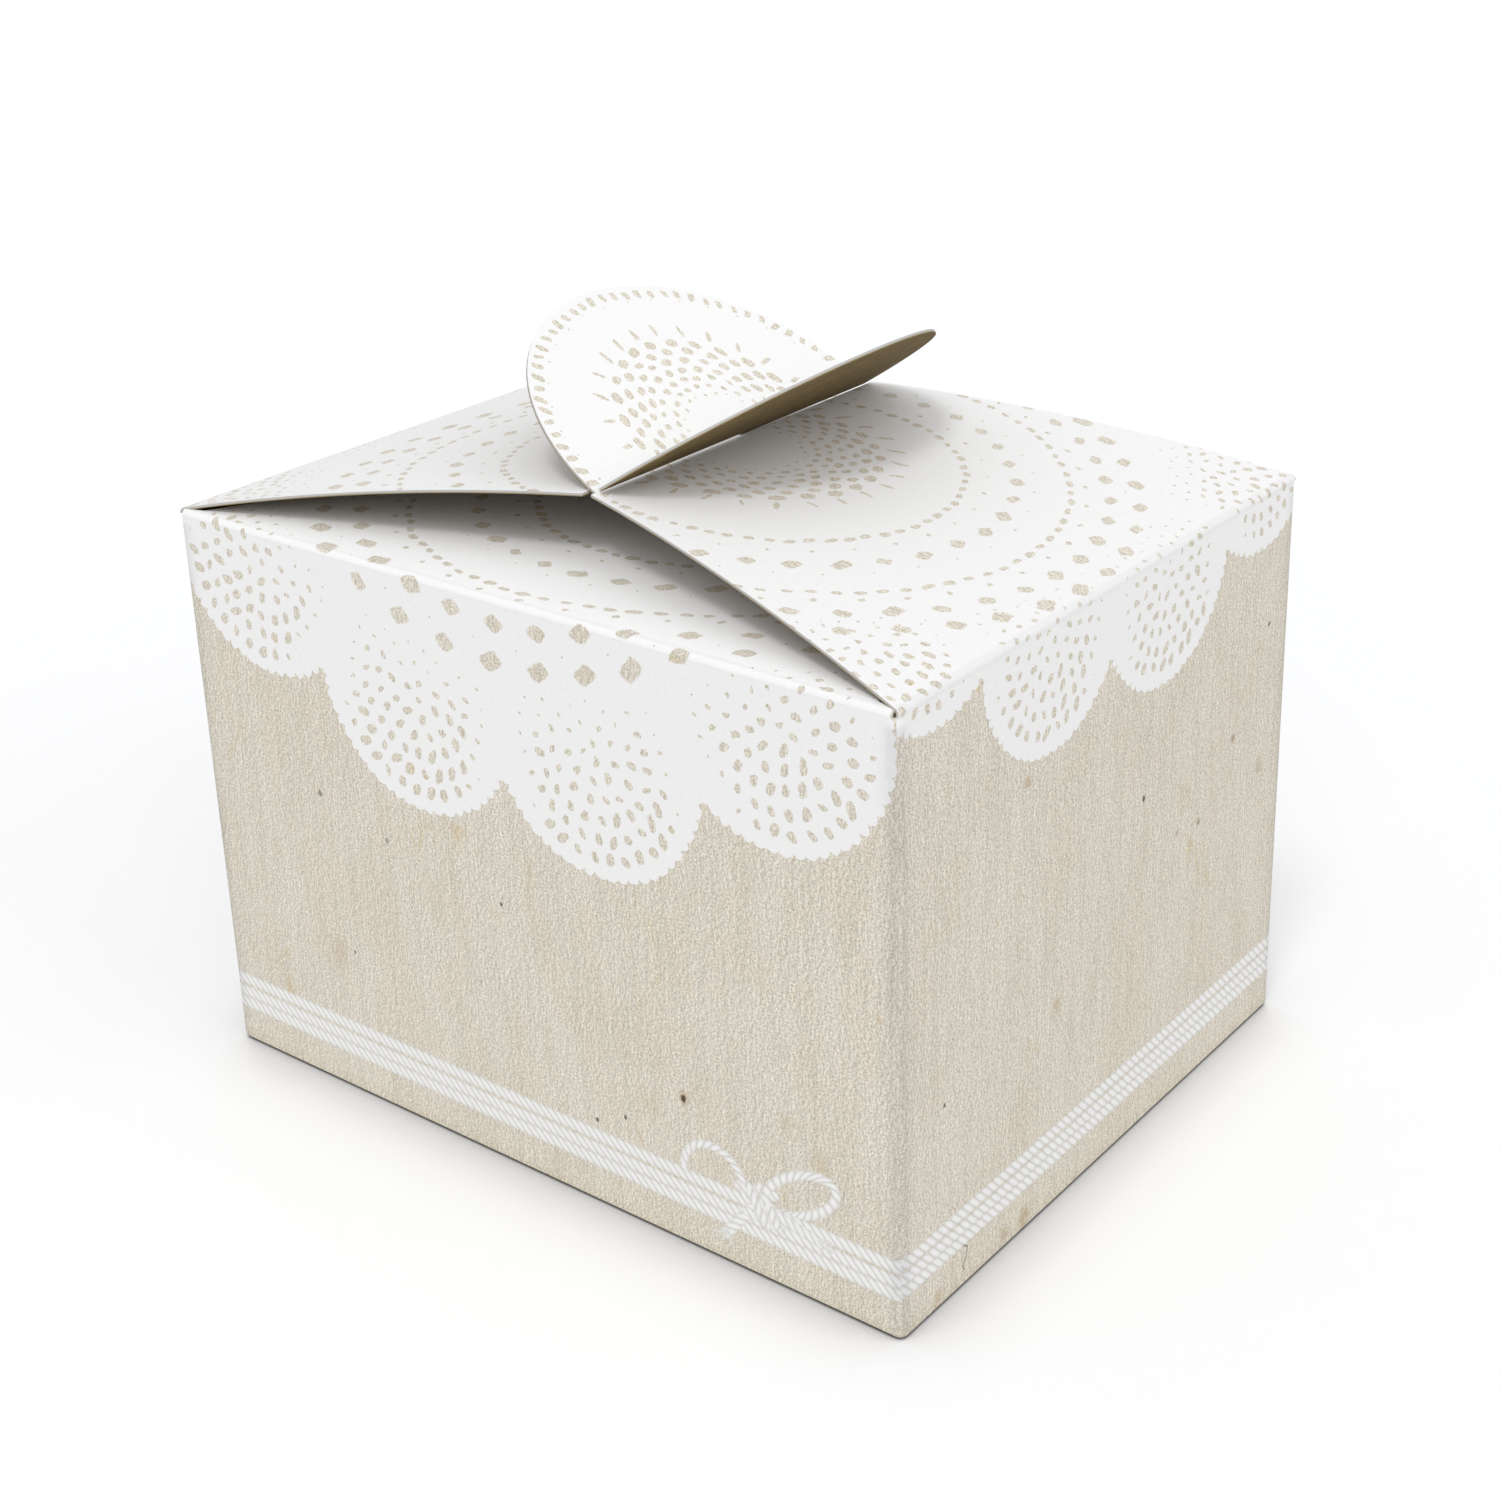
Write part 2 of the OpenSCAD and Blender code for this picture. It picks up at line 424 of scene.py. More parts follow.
def make_panel(name, node, stand_off, degrees, lean, sizes, face):
    """A closure panel, rolled over its crease and softly arched, with its slit open to one side"""
    start, crease_rows, turned, arch_rows, arch, crossing = panel_path(sizes)
    end = tab_root(sizes, lean)[-1]
    narrowing = (PANEL_HALF - sizes.neck_half) / crossing
    slit_end = crossing - sizes.slit
    arch_rows = [row for row in arch_rows if row < end]
    piece = new_blank(name, stand_off)
    cut(0, start, (0, -1), trim=True)
    cut(0, end, (0, 1), trim=True)
    for side in (-1, 1):
        cut(side * PANEL_HALF, 0, (side, narrowing), trim=True)
        cut(side * sizes.neck_half, 0, (1, 0))
    for row in crease_rows + arch_rows + [slit_end]:
        if row < end:
            cut(0, row, (0, 1))
    cut(-SLIT_PAST, 0, (1, 0))
    take_away(piece, lambda across, up: across > -SLIT_PAST and up > slit_end)
    flat = points_of(piece)
    pen = roll_over(piece, flat, crease_rows, turned, (-stand_off, CREASE + start, math.pi / 2, start))
    roll_over(piece, flat, arch_rows, arch * len(arch_rows) / ARCH, pen)
    finish_board(piece, (face,), degrees, sizes)
    join_carton(piece, node, stand_off, degrees, turned, sizes)


class CARTON_OT_panels(bpy.types.Operator):
    """Fold the two closure panels over the box"""

    bl_idname = "carton.panels"
    bl_label = "Closure panels"

    def execute(self, context):
        sizes = context.scene.carton_sizes
        for name, node, degrees, lean, face in (
                ("right_panel", "panel_right", 90, sizes.lean_right, "Right lid lace"),
                ("left_panel", "panel_left", 270, sizes.lean_left, "Left lid lace")):
            make_panel(name, node, LENGTH / 2, degrees, lean, sizes, face)
        return {"FINISHED"}


def make_tab(name, node, degrees, lean, sizes):
    """A half-round tab, creased up out of its panel on one half and cut free on the other"""
    corner, slope, root, first = tab_root(sizes, lean)
    crease_rows, crease_end = rows_of(first, sizes.tab_fold, lean - slope, TAB_FOLD)
    shift = (sizes.tab_reach - sizes.tab_half ** 2 / sizes.tab_reach) / 2
    radius = sizes.tab_reach - shift
    middle = crease_end - root + shift
    piece = new_blank(name, 0)
    cut(0, first, (0, -1), trim=True)
    for i in range(RIM):
        angle = 2 * math.pi * (i + 0.5) / RIM
        out = (math.sin(angle), math.cos(angle))
        cut(radius * out[0], middle + radius * out[1], out, trim=True)
    for row in crease_rows + [crease_end]:
        cut(0, row, (0, 1))
    slit_end = crease_end - root + sizes.slit
    cut(0, slit_end, (0, 1))
    cut(-SLIT_PAST, 0, (1, 0))
    for i in range(1, TAB_STRIPS):
        cut(0, slit_end + (middle + radius - slit_end) * i / TAB_STRIPS, (0, 1))
        cut((2 * i / TAB_STRIPS - 1) * radius, 0, (1, 0))
    take_away(piece, lambda across, up: across > -SLIT_PAST and up < slit_end)
    flat = points_of(piece)
    # The standing blank is laid on the panel's line first, then creased upwards
    y = corner[0] - root * math.cos(slope)
    z = corner[1] - root * math.sin(slope)
    bpy.ops.mesh.select_all(action="SELECT")
    bpy.ops.transform.translate(value=(0, y, z - CREASE - first))
    turn(slope - math.pi / 2, "X", (0, y, z))
    roll_over(piece, flat, crease_rows, slope - lean, (y, z, slope, first))
    finish_board(piece, ("Tab face",), degrees, sizes)
    beside(degrees, y, z)
    beside(degrees, corner[0] + root * math.cos(lean), corner[1] + root * math.sin(lean))
    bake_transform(piece)
    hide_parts(node)


class CARTON_OT_tabs(bpy.types.Operator):
    """Cut and crease the two lock tabs"""

    bl_idname = "carton.tabs"
    bl_label = "Lock tabs"

    def execute(self, context):
        sizes = context.scene.carton_sizes
        make_tab("right_tab", "tab_right", 90, sizes.lean_right, sizes)
        make_tab("left_tab", "tab_left", 270, sizes.lean_left, sizes)
        return {"FINISHED"}


# ---------------------------------------------------------------- tucked flaps


def make_flap(name, node, degrees, sizes):
    """A tucked flap, rolled over its crease, tapered past a narrow lip and round at its tips"""
    turned = flap_turn(sizes)
    start = -sizes.top_fold * math.tan(turned / 2)
    crease_rows, _ = rows_of(start, sizes.top_fold, turned, FLAP_FOLD)
    lip_x = LENGTH / 2 - LIP_IN
    tip_x = lip_x - TAPER * (sizes.flap_depth - LIP_UP)
    stand_off = WIDTH / 2
    piece = new_blank(name, stand_off)
    cut(0, start, (0, -1), trim=True)
    cut(0, sizes.flap_depth, (0, 1), trim=True)
    for side in (-1, 1):
        cut(side * FLAP_END, 0, (side, 0), trim=True)
        cut(side * lip_x, LIP_UP, (side, TAPER))
        cut(side * lip_x, LIP_UP, (LIP_SLOPE * side, 1))
        for bevel in (0.25, 0.5, 0.75):
            slant = math.atan2(TAPER, 1) * (1 - bevel) + math.pi / 2 * bevel
            out = (side * math.cos(slant), math.sin(slant))
            cut(side * (tip_x - TIP * 0.9) + TIP * 0.96 * out[0],
                sizes.flap_depth - TIP + TIP * out[1], out, trim=True)
    for row in crease_rows:
        cut(0, row, (0, 1))
    for i in range(1, FLAP_STRIPS):
        cut(0, sizes.flap_depth * i / FLAP_STRIPS, (0, 1))

    def past_edge(across, up):
        over, rise = abs(across) - lip_x, up - LIP_UP
        return over * LIP_SLOPE + rise > 0 and over + TAPER * rise > 0

    take_away(piece, past_edge)
    flat = points_of(piece)
    roll_over(piece, flat, crease_rows, turned, (-stand_off, CREASE + start, math.pi / 2, start))
    finish_board(piece, ("Flap lace",), degrees, sizes)
    join_carton(piece, node, stand_off, degrees, turned, sizes)


class CARTON_OT_flaps(bpy.types.Operator):
    """Fold the front and back flaps that tuck under the closure panels"""

    bl_idname = "carton.flaps"
    bl_label = "Tucked flaps"

    def execute(self, context):
        sizes = context.scene.carton_sizes
        make_flap("front_flap", "flap_front", 0, sizes)
        make_flap("back_flap", "flap_back", 180, sizes)
        return {"FINISHED"}


class CARTON_OT_base(bpy.types.Operator):
    """Finish the flaps of the snap-lock base and the glue flap"""

    bl_idname = "carton.base"
    bl_label = "Base and glue flap"

    def execute(self, context):
        for name in ("base_front", "base_tongue", "base_left", "base_right", "base_back", "glue_flap"):
            node = frame["nodes"][name]
            if not node.material_slots:
                node.data.materials.append(None)
            for place in node.material_slots:
                place.material = bpy.data.materials["Base board"]
        return {"FINISHED"}


# ---------------------------------------------------------------- pattern building

# How far a hole of the lace strays and leans where it is fully uneven
HOLE_STRAY, HOLE_LEAN = 1.2, 2.4
# Where the holes of a lace border's fan stop, from the middle of its lobe, in millimetres outwards
FAN_END = -8.0
# Height of the middle of a tab's ring of holes over the top crease, in millimetres of the blank
TAB_MIDDLE = 71.1
# How much taller than wide the doily's flower is
FLOWER_STRETCH = 1.21
# How far a cord's strands lean back for each millimetre across it, and how fine its hairs are
STRAND_SLANT, CORD_HAIR = 0.95, 2.6


def join(tree, value, socket):
    """Feeds a socket with a field, or sets it to a plain number or colour"""
    if isinstance(value, Field):
        tree.links.new(value.socket, socket)
    else:
        socket.default_value = value


class Field:
    """A value that changes over the board. Arithmetic on fields adds Math nodes to their tree."""

    def __init__(self, tree, socket):
        self.tree, self.socket = tree, socket

    def math(self, operation, *values, first=None):
        node = self.tree.nodes.new("ShaderNodeMath")
        node.operation = operation
        parts = (self,) + values if first is None else (first, self)
        for place, value in zip(node.inputs, parts):
            join(self.tree, value, place)
        return Field(self.tree, node.outputs[0])

    def __rsub__(self, other):
        return self.math("SUBTRACT", first=other)

    __add__ = partialmethod(math, "ADD")
    __sub__ = partialmethod(math, "SUBTRACT")
    __mul__ = partialmethod(math, "MULTIPLY")
    __truediv__ = partialmethod(math, "DIVIDE")
    __pow__ = partialmethod(math, "POWER")
    __abs__ = partialmethod(math, "ABSOLUTE")
    whole = partialmethod(math, "FLOOR")
    wave = partialmethod(math, "SINE")
    most = partialmethod(math, "MAXIMUM")
    least = partialmethod(math, "MINIMUM")
    above = partialmethod(math, "GREATER_THAN")

    def ramp(self, low, high, start=0.0, end=1.0):
        """Eases from start to end as the field goes from low to high"""
        node = self.tree.nodes.new("ShaderNodeMapRange")
        node.interpolation_type = "SMOOTHSTEP"
        for place, value in zip(node.inputs[:5], (self, low, high, start, end)):
            join(self.tree, value, place)
        return Field(self.tree, node.outputs[0])


class Plan:
    """A node tree under construction"""

    def __init__(self, tree):
        self.tree = tree

    def node(self, kind, **settings):
        node = self.tree.nodes.new(kind)
        for name, value in settings.items():
            setattr(node, name, value)
        return node

    def field(self, socket):
        return Field(self.tree, socket)

    def feed(self, value, socket):
        join(self.tree, value, socket)

    def vector(self, x, y, z=0.0):
        node = self.node("ShaderNodeCombineXYZ")
        for place, value in zip(node.inputs, (x, y, z)):
            self.feed(value, place)
        return self.field(node.outputs[0])

    def split(self, socket, kind="XYZ"):
        """The parts of a place, or of a colour"""
        node = self.node("ShaderNodeSeparate" + kind)
        self.tree.links.new(socket, node.inputs[0])
        return [self.field(part) for part in node.outputs]

    def noise(self, place, scale, detail=2.0, roughness=0.5, distortion=0.0, output="Fac"):
        """Soft random clouds. Scale is their number in a millimetre."""
        node = self.node("ShaderNodeTexNoise")
        self.feed(place, node.inputs["Vector"])
        for name, value in (
                ("Scale", scale), ("Detail", detail), ("Roughness", roughness), ("Distortion", distortion)):
            node.inputs[name].default_value = value
        return self.field(node.outputs[output])

    def chance(self, place):
        """Three even random numbers for each cell"""
        node = self.node("ShaderNodeTexWhiteNoise", noise_dimensions="3D")
        self.feed(place, node.inputs["Vector"])
        return self.split(node.outputs["Color"], "Color")

    def blend(self, amount, first, second, mode="MIX"):
        node = self.node("ShaderNodeMix", data_type="RGBA", blend_type=mode)
        self.feed(amount, node.inputs[0])
        for place, value in ((node.inputs[6], first), (node.inputs[7], second)):
            self.feed(value if isinstance(value, Field) else (*value, 1), place)
        return self.field(node.outputs[2])

    def tint(self, colour, *steps):
        """Multiplies a colour by one tint after another, each as far as its mask says"""
        for mask, shade in steps:
            colour = self.blend(mask, colour, shade, "MULTIPLY")
        return colour

    def use(self, name, **values):
        """Places a shared effect with its own values"""
        node = self.node("ShaderNodeGroup")
        node.node_tree = bpy.data.node_groups[name]
        for label, value in values.items():
            self.feed(value, node.inputs[label.replace("_", " ")])
        return {socket.name: self.field(socket) for socket in node.outputs}


class Effect(Plan):
    """A shared effect: a node group with named inputs and outputs"""

    def __init__(self, name, inputs, outputs):
        super().__init__(bpy.data.node_groups.new(name, "ShaderNodeTree"))
        for label, value in inputs.items():
            kind = "NodeSocketColor" if isinstance(value, tuple) and len(value) == 4 else (
                "NodeSocketVector" if isinstance(value, tuple) else "NodeSocketFloat")
            socket = self.tree.interface.new_socket(name=label, in_out="INPUT", socket_type=kind)
            socket.default_value = value
        for label in outputs:
            kind = "NodeSocketColor" if label == "Colour" else "NodeSocketFloat"
            self.tree.interface.new_socket(name=label, in_out="OUTPUT", socket_type=kind)
        entry = self.node("NodeGroupInput")
        self.inputs = {label: self.field(entry.outputs[label]) for label in inputs}
        self.exit = self.node("NodeGroupOutput")

    def give(self, **values):
        for label, value in values.items():
            self.feed(value, self.exit.inputs[label.replace("_", " ")])


# The place on the flat blank that most effects start from
PLACE = {"Across": 0.0, "Up": 0.0}


def make_ruler():
    """Millimetres across the flat blank and up from its top crease"""
    plan = Effect("Blank ruler", {}, ("Across", "Up"))
    across, up, _ = plan.split(plan.node("ShaderNodeUVMap", uv_map="Blank").outputs[0])
    size = BLANK / MM
    plan.give(Across=(across - 0.5) * size, Up=(up - 0.5) * size)


def make_hand():
    """The wander of a pattern that was drawn by hand"""
    plan = Effect(
        "Drawn by hand", {**PLACE, "Seed": 0.0, "Wander": 0.5, "Ragged": 0.25},
        ("Across", "Up"))
    get = plan.inputs
    across, up = get["Across"], get["Up"]
    place = plan.vector(across, up, get["Seed"])
    for scale, amount in ((0.11, get["Wander"]), (0.9, get["Ragged"])):
        red, green, _ = plan.split(plan.noise(place, scale, 1.0, output="Color").socket, "Color")
        across = across + (red - 0.5) * amount * 2.0
        up = up + (green - 0.5) * amount * 2.0
    plan.give(Across=across, Up=up)


def make_round():
    """Distance from a centre in millimetres, and the turn about it, zero straight down"""
    plan = Effect("Round", {"Across": 0.0, "Down": 0.0}, ("Radius", "Turn"))
    across, down = plan.inputs["Across"], plan.inputs["Down"]
    radius = (across * across + down * down).math("SQRT")
    plan.give(Radius=radius, Turn=across.math("ARCTAN2", down) / (2 * math.pi))


def make_hole_ring():
    """One ring of punched holes. Shape is 1 for diamonds, 2 for ovals and more for squared ones."""
    plan = Effect(
        "Hole ring",
        {"Radius": 0.0, "Turn": 0.0, "Ring": 30.0, "Count": 60.0, "Offset": 0.0, "Half length": 0.8,
         "Half height": 0.6, "Shape": 2.0, "Uneven": 0.3, "Seed": 0.0}, ("Hole",))
    get = plan.inputs
    cell = get["Turn"] * get["Count"] + get["Offset"]
    number = cell.whole()
    pitch = get["Ring"] * (2 * math.pi) / get["Count"]
    side, rise, size = plan.chance(plan.vector(number, get["Seed"], get["Ring"]))
    along = (cell - number - 0.5) * pitch + (side - 0.5) * get["Uneven"] * HOLE_STRAY
    out = get["Radius"] - get["Ring"] + (rise - 0.5) * get["Uneven"] * HOLE_STRAY
    # A random lean makes each hole a little skewed
    along = along + out * (size - 0.5) * get["Uneven"] * HOLE_LEAN
    grow = (size - 0.5) * get["Uneven"] + 1.0
    far = (abs(along) / (get["Half length"] * grow)) ** get["Shape"] + (
        abs(out) / (get["Half height"] * grow)) ** get["Shape"]
    plan.give(Hole=far.ramp(1.12, 0.82))


def make_hole_rows():
    """Rings of holes one inside another, set closer or wider by their pitch"""
    plan = Effect(
        "Hole rows",
        {"Radius": 0.0, "Turn": 0.0, "First": 1.5, "Step": 3.0, "Rows": 6.0, "Count": 0.0, "Pitch": 3.0,
         "Half length": 0.9, "Half height": 0.7, "Growth": 0.0, "Shape": 2.0, "Uneven": 0.4, "Seed": 0.0},
        ("Hole",))
    get = plan.inputs
    row = ((get["Radius"] - get["First"]) / get["Step"] + 0.5).whole().most(0.0).least(get["Rows"] - 1.0)
    ring = get["First"] + row * get["Step"]
    count = (get["Count"] + ring * (2 * math.pi) / get["Pitch"] + 0.5).whole()
    grow = get["Growth"] * row + 1.0
    plan.give(Hole=plan.use(
        "Hole ring", Ring=ring, Count=count, Offset=row * 0.5 + 0.25,
        Half_length=get["Half length"] * grow, Half_height=get["Half height"] * grow,
        **{name: get[name] for name in ("Radius", "Turn", "Shape", "Uneven", "Seed")})["Hole"])


def make_lobes():
    """The scalloped border of a round doily, with small picots along its lobes"""
    plan = Effect(
        "Lobed border",
        {"Radius": 0.0, "Turn": 0.0, "Lobes": 15.0, "Offset": 0.0, "Centre": 85.0, "Lobe": 20.0,
         "Picots": 56.0, "Picot depth": 0.75}, ("Cover", "Radius", "Turn", "Out", "Side", "Number"))
    get = plan.inputs
    cell = get["Turn"] * get["Lobes"] + get["Offset"]
    number = cell.whole()
    angle = (cell - number - 0.5) * (2 * math.pi) / get["Lobes"]
    out = get["Radius"] * angle.math("COSINE") - get["Centre"]
    side = get["Radius"] * angle.wave()
    lobe = plan.use("Round", Across=side, Down=out)
    picot = lobe["Turn"] * get["Picots"]
    deep = get["Picot depth"] * (plan.chance(plan.vector(picot.whole(), number))[0] * 0.9 + 0.55)
    edge = get["Lobe"] - deep * (1.0 - abs((picot * math.pi).wave()) ** 0.8) - lobe["Radius"]
    inner = get["Centre"] + get["Lobe"] * 0.38 - get["Radius"]
    plan.give(Cover=edge.most(inner).ramp(-0.06, 0.06), Radius=lobe["Radius"], Turn=lobe["Turn"], Out=out,
              Side=side, Number=number)


def make_lace():
    """Doily print: rings of holes round the middle and a lobed border with fans of holes"""
    plan = Effect(
        "Doily lace",
        {**PLACE, "Middle": 57.0, "Slide": 0.0, "Border across": 0.9, "Border middle": 63.8,
         "Lobe centre": 85.0, "Lobe": 20.3, "Lobes": 14.96, "Border turn": 0.0034,
         "Fan first": 1.5, "Fan step": 3.05, "Dots": 33.0, "Dot count": 67.0, "Diamonds": 42.5,
         "Diamond count": 37.0, "Dashes": 53.4, "Dash count": 92.0, "Outer": 61.0, "Outer step": 6.1,
         "Outer count": 45.0, "Size": 1.0, "Seed": 0.0}, ("Cover", "Hole"))
    get = plan.inputs
    border = plan.use(
        "Round", Across=get["Across"] - get["Border across"], Down=get["Border middle"] - get["Up"])
    lobe = plan.use(
        "Lobed border", Radius=border["Radius"], Turn=border["Turn"] + get["Border turn"],
        Centre=get["Lobe centre"], Lobe=get["Lobe"], Lobes=get["Lobes"])
    # The holes of a fan grow smaller towards its top and its sides
    spread = get["Size"] * lobe["Out"].ramp(FAN_END, 2.0, 0.3, 1.0) * abs(lobe["Side"]).ramp(
        get["Lobe"] * 0.80, get["Lobe"] * 0.5, 0.02, 1.0)
    hole = plan.use(
        "Hole rows", Radius=lobe["Radius"], Turn=lobe["Turn"], First=get["Fan first"],
        Step=get["Fan step"], Rows=6.0, Pitch=get["Fan step"] * 1.02, Half_length=spread * 0.56,
        Half_height=spread * 0.74, Growth=0.075, Shape=2.3, Uneven=0.45,
        Seed=lobe["Number"] + get["Seed"])["Hole"]
    hole = hole * lobe["Out"].above(FAN_END) * (get["Lobe"] * 0.95 - lobe["Radius"]).above(0.0)
    middle = plan.use("Round", Across=get["Across"] - get["Slide"], Down=get["Middle"] - get["Up"])
    # Each ring's radius, count, offset, half length and half height of its holes, and their shape
    for ring, count, offset, length, height, shape in (
            (get["Dots"], get["Dot count"], 0.0, 0.98, 0.7, 2.6),
            (get["Dots"] + 3.3, get["Dot count"] / 2.0, 0.3, 0.42, 0.4, 2.0),
            (get["Diamonds"], get["Diamond count"], 0.15, 1.75, 1.4, 1.3),
            (get["Diamonds"] + 3.0, get["Diamond count"], 0.6, 0.22, 0.25, 2.0),
            (get["Dashes"], get["Dash count"], 0.0, 1.1, 0.62, 2.4),
            (get["Dashes"] + 2.4, get["Outer count"], 0.1, 0.62, 0.55, 1.3),
            (get["Outer"], get["Outer count"], 0.6, 1.9, 1.45, 1.35),
            (get["Outer"] + get["Outer step"] * 0.55, get["Outer count"], 0.1, 0.2, 0.2, 2.0),
            (get["Outer"] + get["Outer step"], get["Outer count"], 0.7, 2.0, 1.55, 1.35)):
        hole = hole.most(plan.use(
            "Hole ring", **middle, Ring=ring, Count=count, Offset=offset, Half_length=get["Size"] * length,
            Half_height=get["Size"] * height, Shape=shape, Uneven=0.35, Seed=get["Seed"])["Hole"])
    plan.give(Cover=lobe["Cover"], Hole=hole)


def make_flower():
    """The rings of ovals and fine slivers in the middle of the short faces' doily"""
    plan = Effect("Doily flower", {**PLACE, "Slide": 0.0, "Middle": 68.7}, ("Hole",))
    get = plan.inputs
    middle = plan.use(
        "Round", Across=get["Across"] - get["Slide"], Down=(get["Middle"] - get["Up"]) / FLOWER_STRETCH)
    petals = plan.use(
        "Hole rows", **middle, First=10.7, Step=1.74, Rows=6.0, Count=28.0, Pitch=100000.0,
        Half_length=0.6, Half_height=0.42, Growth=0.17, Shape=2.2, Uneven=0.3, Seed=3.0)
    slivers = plan.use(
        "Hole ring", **middle, Ring=21.9, Count=29.0, Half_length=0.36, Half_height=1.15, Uneven=0.35)
    specks = plan.use(
        "Hole ring", **middle, Ring=9.1, Count=26.0, Offset=0.25, Half_length=0.3, Half_height=0.26,
        Uneven=0.5)
    plan.give(Hole=petals["Hole"].most(slivers["Hole"]).most(specks["Hole"]))


def make_outline():
    """The ring of upright holes that follows the round edge of a tab, and the dots inside it"""
    plan = Effect("Tab outline", PLACE, ("Hole",))
    get = plan.inputs
    middle = plan.use("Round", Across=get["Across"], Down=TAB_MIDDLE - get["Up"])
    holes, dots = (
        plan.use(
            "Hole ring", **middle, Ring=ring, Count=count, Half_length=length, Half_height=height,
            Shape=shape, Seed=5.0)["Hole"]
        for ring, count, length, height, shape in (
            (32.9, 80.0, 0.6, 0.98, 3.0), (31.3, 37.0, 0.2, 0.2, 2.0)))
    plan.give(Hole=holes.most(dots))


def twisted(plan, run, far, hair):
    """Cover and shade of a twisted cord. Its strands bulge its edge and its hairs roughen it."""
    get = plan.inputs
    strand = abs(((run / get["Twist"]) * math.pi).wave())
    edge = get["Half width"] * (strand * 0.16 + 0.92) - far + hair * 0.35
    shade = (strand ** 0.45) * edge.ramp(-0.1, 0.6, 0.55, 1.0) + hair * 0.5
    return edge.ramp(-0.1, 0.12), shade.most(0.0).least(1.0)


def make_cord():
    """A stretch of twisted cord print, from its start along its direction"""
    plan = Effect(
        "Cord stretch",
        {**PLACE, "Start": (0.0, 0.0, 0.0), "Direction": (1.0, 0.0, 0.0), "Length": 10.0,
         "Half width": 1.05, "Twist": 1.6, "Phase": 0.0}, ("Cover", "Strand"))
    get = plan.inputs
    start_x, start_y, _ = plan.split(get["Start"].socket)
    way_x, way_y, _ = plan.split(get["Direction"].socket)
    x, y = get["Across"] - start_x, get["Up"] - start_y
    along, aside = x * way_x + y * way_y, y * way_x - x * way_y
    past = along - along.most(0.0).least(get["Length"])
    far = (past * past + aside * aside).math("SQRT")
    place = plan.vector(along * 0.7 + aside * 0.7, (along - aside) * 2.2)
    cover, shade = twisted(
        plan, along + aside * STRAND_SLANT + get["Phase"], far, plan.noise(place, CORD_HAIR) - 0.5)
    plan.give(Cover=cover, Strand=shade)


def make_cord_loop():
    """A loop of twisted cord print, an oval turned by an angle and drawn only above a level"""
    plan = Effect(
        "Cord loop",
        {**PLACE, "At across": 0.0, "At up": 0.0, "Long": 6.0, "Short": 5.0, "Angle": 0.0,
         "Half width": 0.85, "Twist": 1.5, "Level": -200.0}, ("Cover", "Strand"))
    get = plan.inputs
    long, short = get["Long"], get["Short"]
    x, y = get["Across"] - get["At across"], get["Up"] - get["At up"]
    cosine, sine = get["Angle"].math("COSINE"), get["Angle"].wave()
    along, aside = (x * cosine + y * sine) / long, (y * cosine - x * sine) / short
    reach = (along * along + aside * aside).math("SQRT")
    steep_x, steep_y = along / long, aside / short
    far = (reach - 1.0) * reach / (steep_x * steep_x + steep_y * steep_y).math("SQRT")
    turned = aside.math("ARCTAN2", along)
    run = turned * (long + short) * 0.5 - (turned * 2.0).wave() * (long - short) * 0.25
    hair = plan.noise(plan.vector(x * 1.6, y * 1.6), CORD_HAIR) - 0.5
    cover, shade = twisted(plan, run + far * STRAND_SLANT, abs(far), hair)
    plan.give(Cover=cover * (get["Up"] - get["Level"]).ramp(-0.3, 0.3), Strand=shade)


def make_paper():
    """Pressed natural paper: upright fibre relief with painted shade on the fibres' sides, mottling, pale
    stains and small dark specks
    """
    plan = Effect(
        "Pressed paper",
        {**PLACE, "Seed": 0.0, "Paper": (0.77, 0.71, 0.615, 1.0), "Specks": 1.0,
         "Stains": 1.0}, ("Colour", "Height"))
    get = plan.inputs
    across, up, seed = get["Across"], get["Up"], get["Seed"]
    drawn_up = up * 0.45
    place = plan.vector(across, drawn_up, seed)
    # Painted shade of the fibre relief: the same fibres a little to the side, and where they fall away the
    # colour darkens as if they turned from the light
    fibre, shifted = (
        plan.noise(where, 1.9, distortion=0.5)
        for where in (place, plan.vector(across + 0.15, drawn_up - 0.02, seed)))
    grain = plan.noise(plan.vector(across, up, seed), 2.9, 3.0, 0.75)
    streak = plan.noise(plan.vector(across, up * 0.06, seed + 4.0), 1.1, 2.0, 0.6)
    cloud = plan.noise(place, 0.09, 3.0, 0.6)
    blot = plan.noise(place, 0.16, 3.0, 0.65, 1.5)
    colour = plan.tint(
        get["Paper"],
        # Painted shade on the fibres' sides
        ((shifted - fibre).ramp(-0.12, 0.12), (0.76, 0.745, 0.72)),
        (fibre.ramp(0.4, 0.62), (0.93, 0.93, 0.93)),
        (grain.ramp(0.34, 0.62, 1.0, 0.0), (0.64, 0.63, 0.60)),
        (streak.ramp(0.38, 0.66), (0.93, 0.93, 0.92)),
        (cloud.ramp(0.35, 0.7), (0.965, 0.955, 0.94)),
        (blot.ramp(0.62, 0.8) * get["Stains"], (0.93, 0.84, 0.64)))
    # One speck to a cell, where the cell's random size is large enough to show it
    cells = plan.node("ShaderNodeTexVoronoi", feature="F1")
    plan.feed(place, cells.inputs["Vector"])
    cells.inputs["Scale"].default_value = 0.22
    size, shade, _ = plan.split(cells.outputs["Color"], "Color")
    distance = plan.field(cells.outputs["Distance"]) + (grain - 0.5) * 0.06
    spot = ((size - 0.72) * 0.17 - distance).ramp(-0.01, 0.015)
    colour = plan.blend(spot * get["Specks"] * (shade * 0.55 + 0.2), colour, (0.16, 0.12, 0.07))
    plan.give(Colour=colour, Height=fibre + grain * 0.3)


